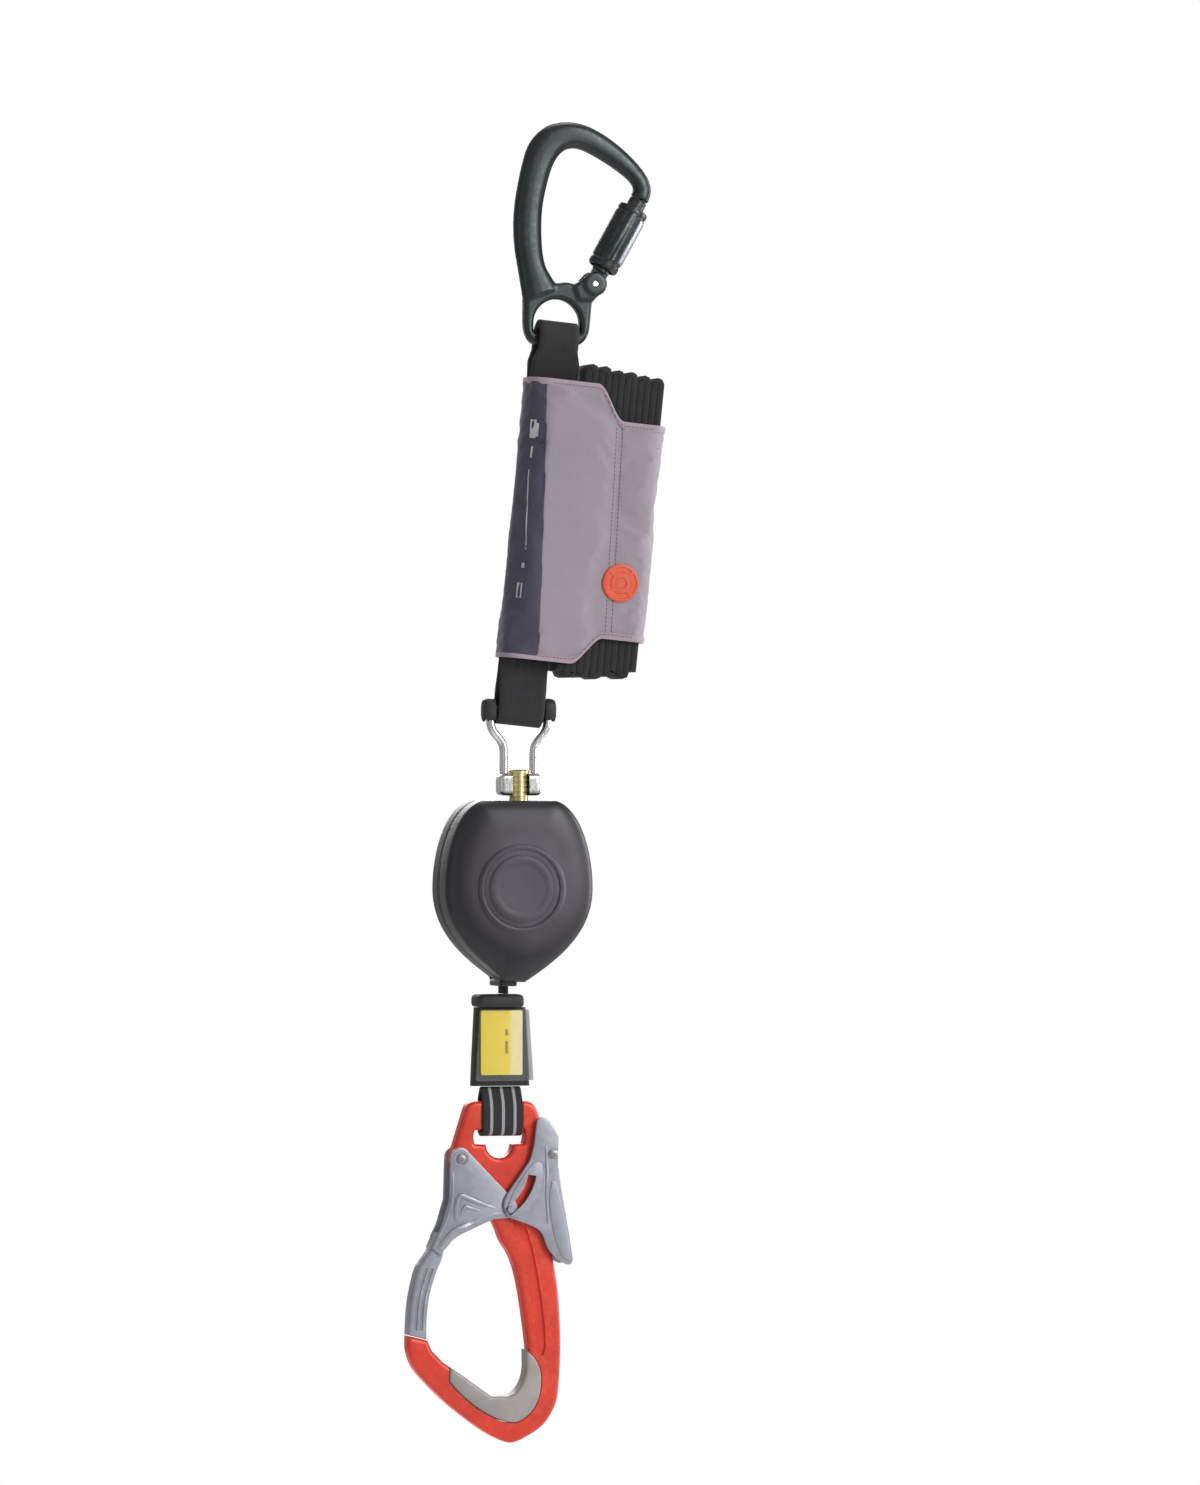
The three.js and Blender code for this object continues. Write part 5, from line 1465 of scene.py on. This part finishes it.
def hook_gate():
    """Two ribbed cheeks on the pivot, and a grooved arm that closes the hook's mouth."""
    inner, outer = 6.4, 8.6
    top = [(-19.4, -13), (-21.6, -10.8), (-24.6, -9.9), (-28, -10.9), (-30.6, -14), (-31.2, -20)]
    cheek = through(top, 4)
    cheek += [Vector(p) for p in ((-31.8, -41.4), (-36.2, -56), (-42.4, -70.2), (-36.8, -74.8))]
    cheek += through([(-35.4, -72), (-33.2, -69.6), (-28, -64), (-17.5, -58.8), (-5, -53.4)], 5)
    cheek += [Vector((4.4, -52.6))] + bezier((4.4, -52.6), (10, -51.6), (11.6, -48), (9.6, -43.2), 7)[1:]
    parts = [gate_arm()]
    for face in (-1, 1):
        near, far = sorted((face * inner, face * outer))
        side = plate("cheek", cheek, near, far, 0.7, (), 3, HOOK)
        parts.append(carve(side, bore(2.3, 12, HOOK @ spot(*GATE_PIVOT) @ ALONG_Y)))
        for points, width in RIBS:
            run = through([(x, face * (outer + rise - RIB_DEPTH), z) for x, z, rise in points], 6)
            parts.append(sweep("rib", run, ellipse(width, RIB_DEPTH, 12), HOOK))
        out = ALONG_Y if face > 0 else ALONG_Y.inverted()
        collar = [(3.5, 7.2), (5.0, 7.2), (5.0, 8.7), (4.6, 9.1), (3.9, 9.1), (3.5, 8.8)]
        parts.append(turned("collar", collar, HOOK @ spot(*GATE_PIVOT) @ out, 32))
        stud = [(0, 6.8), (2.15, 6.8), (2.15, 11.2), (1.8, 11.5), (0, 11.5)]
        parts.append(turned("stud", stud, HOOK @ spot(*LOCK_PIN) @ out, 28))
    dress(merge("gate_casting", *parts), "grey_alloy", "hook_gate", "hook_gate")


def stud_path(angle):
    """Where the gate's stud is, in the lever's own frame, when the gate is open by an angle."""
    def turn(point, centre, by):
        x, z = point[0] - centre[0], point[1] - centre[1]
        cos, sin = math.cos(by), math.sin(by)
        return (centre[0] + x * cos - z * sin, centre[1] + x * sin + z * cos)

    return turn(turn(LOCK_PIN, GATE_PIVOT, angle), LEVER_PIVOT, LEVER_RATIO * angle)


def lock_lever():
    """A U-shaped squeeze lever with slotted cheeks and a rounded grip down its back."""
    side = [Vector((21.2, 2))] + bezier((21.8, 6), (24, 9.5), (28.4, 7.4), (30.8, 3.2), 6)
    side += [Vector(p) for p in (
        (35.2, -4.2), (34.9, -12), (34.8, -21.6), (36.8, -35), (39.2, -49), (42, -64), (44.0, -78.2),
        (42.6, -80.6), (40.2, -80.8),
    )]
    side += through([
        (37, -79.2), (33.6, -77.2), (30.4, -73.6), (27.8, -69.6), (24.3, -61.4), (18.4, -57.3), (5.8, -52.8),
    ], 5)
    side += bezier((5.8, -52.8), (-0.4, -48), (0.4, -42.6), (3.1, -38.4), 6)[1:]
    side += through([(6.6, -33), (10.6, -27.6), (14.4, -22.2), (17.4, -17.4), (19.8, -9)], 4)
    parts = [plate("cheek", side, near, far, 0.7, (), 3, HOOK) for near, far in ((-11, -9), (9, 11))]
    lens = through([
        (2.2, -48.6), (6.4, -38), (12.4, -28), (19.4, -19.6), (24.6, -20.6), (25.8, -28), (22.6, -39),
        (16, -48.4), (8.6, -52.6), (2.2, -48.6),
    ], 5)[:-1]
    thumb = rounded([
        (30.6, -30), (33.4, -31), (37.4, -47), (40.4, -62), (42.6, -76.6), (40.6, -78.8), (36.4, -75.4),
        (32.6, -66), (29.8, -52), (28.8, -40),
    ], 4, 6)
    for near, far in ((-11.6, -10.4), (10.4, 11.6)):
        parts.append(plate("lens", lens, near, far, 0.5, (), 3, HOOK))
        parts.append(plate("thumb_rest", thumb, near, far, 0.55, (), 3, HOOK))
    back = [(35.0, -24), (39.2, -49), (44.0, -78.2), (42.4, -80.3), (39.9, -79.6), (38.2, -60), (33.4, -30)]
    lever = plate("lever", rounded(back, 1.2), -10.6, 10.6, 0.8, (), 2, HOOK)
    for face in (-1, 1):
        crease = ((27.2, 10.8, -10), (27.8, 10.9, -26), (27.6, 10.9, -40), (28.6, 10.9, -56))
        run = through([(x, face * y, z) for x, y, z in crease], 6)
        parts.append(sweep("crease", run, ellipse(0.9, 0.9, 10), HOOK))
    combine(lever, parts, "UNION")
    opening, steps, spare = 30, 26, 3  # the gate's travel in degrees, and the slot's steps within and past it
    path = [Vector(stud_path(math.radians(opening * k / steps))) for k in range(-spare, steps + spare + 1)]
    left, right = [], []
    for i, p in enumerate(path):
        ahead = heading(path, i)
        across = Vector((-ahead.y, ahead.x)) * 2.6
        left.append(p + across)
        right.append(p - across)
    slot = plate("slot", left + right[::-1], -14, 14, 0.1, (), 1, HOOK)
    carve(lever, slot, bore(2.3, 14, HOOK @ spot(*LEVER_PIVOT) @ ALONG_Y))
    lever.name = "squeeze_lever"
    dress(lever, "grey_alloy", "hook_lock_lever", "hook_lock_lever")


def rivets():
    """Peened rivets, with a dimple in each head."""
    for name, (x, z), reach, node in (
        ("gate_rivet", GATE_PIVOT, 8.7, "hook_gate_rivet"),
        ("lever_rivet", LEVER_PIVOT, 11.1, "hook_lever_rivet"),
    ):
        head = [(2, 0), (2.9, 0), (2.9, 0.4), (2.4, 0.9), (1.0, 1.1), (0.7, 0.7), (0, 0.7)]
        head = [(r, reach + h) for r, h in head]
        profile = [(r, -h) for r, h in reversed(head)] + head
        rivet = turned(name, profile, HOOK @ spot(x, z) @ ALONG_Y, 32)
        dress(rivet, "rivet_steel", BODY_HOOK, node, slot="steel")


hook_body()
hook_gate()
lock_lever()
rivets()

# ---- Frame parts that stay as they are ----------------------------------------------------------------

slots = {item["node"]: item["material_slot"] for item in frame["record"]["subparts"]}
for node_name, node_object in frame["nodes"].items():
    node_object.data.materials.clear()
    node_object.data.materials.append(looks[slots[node_name]])
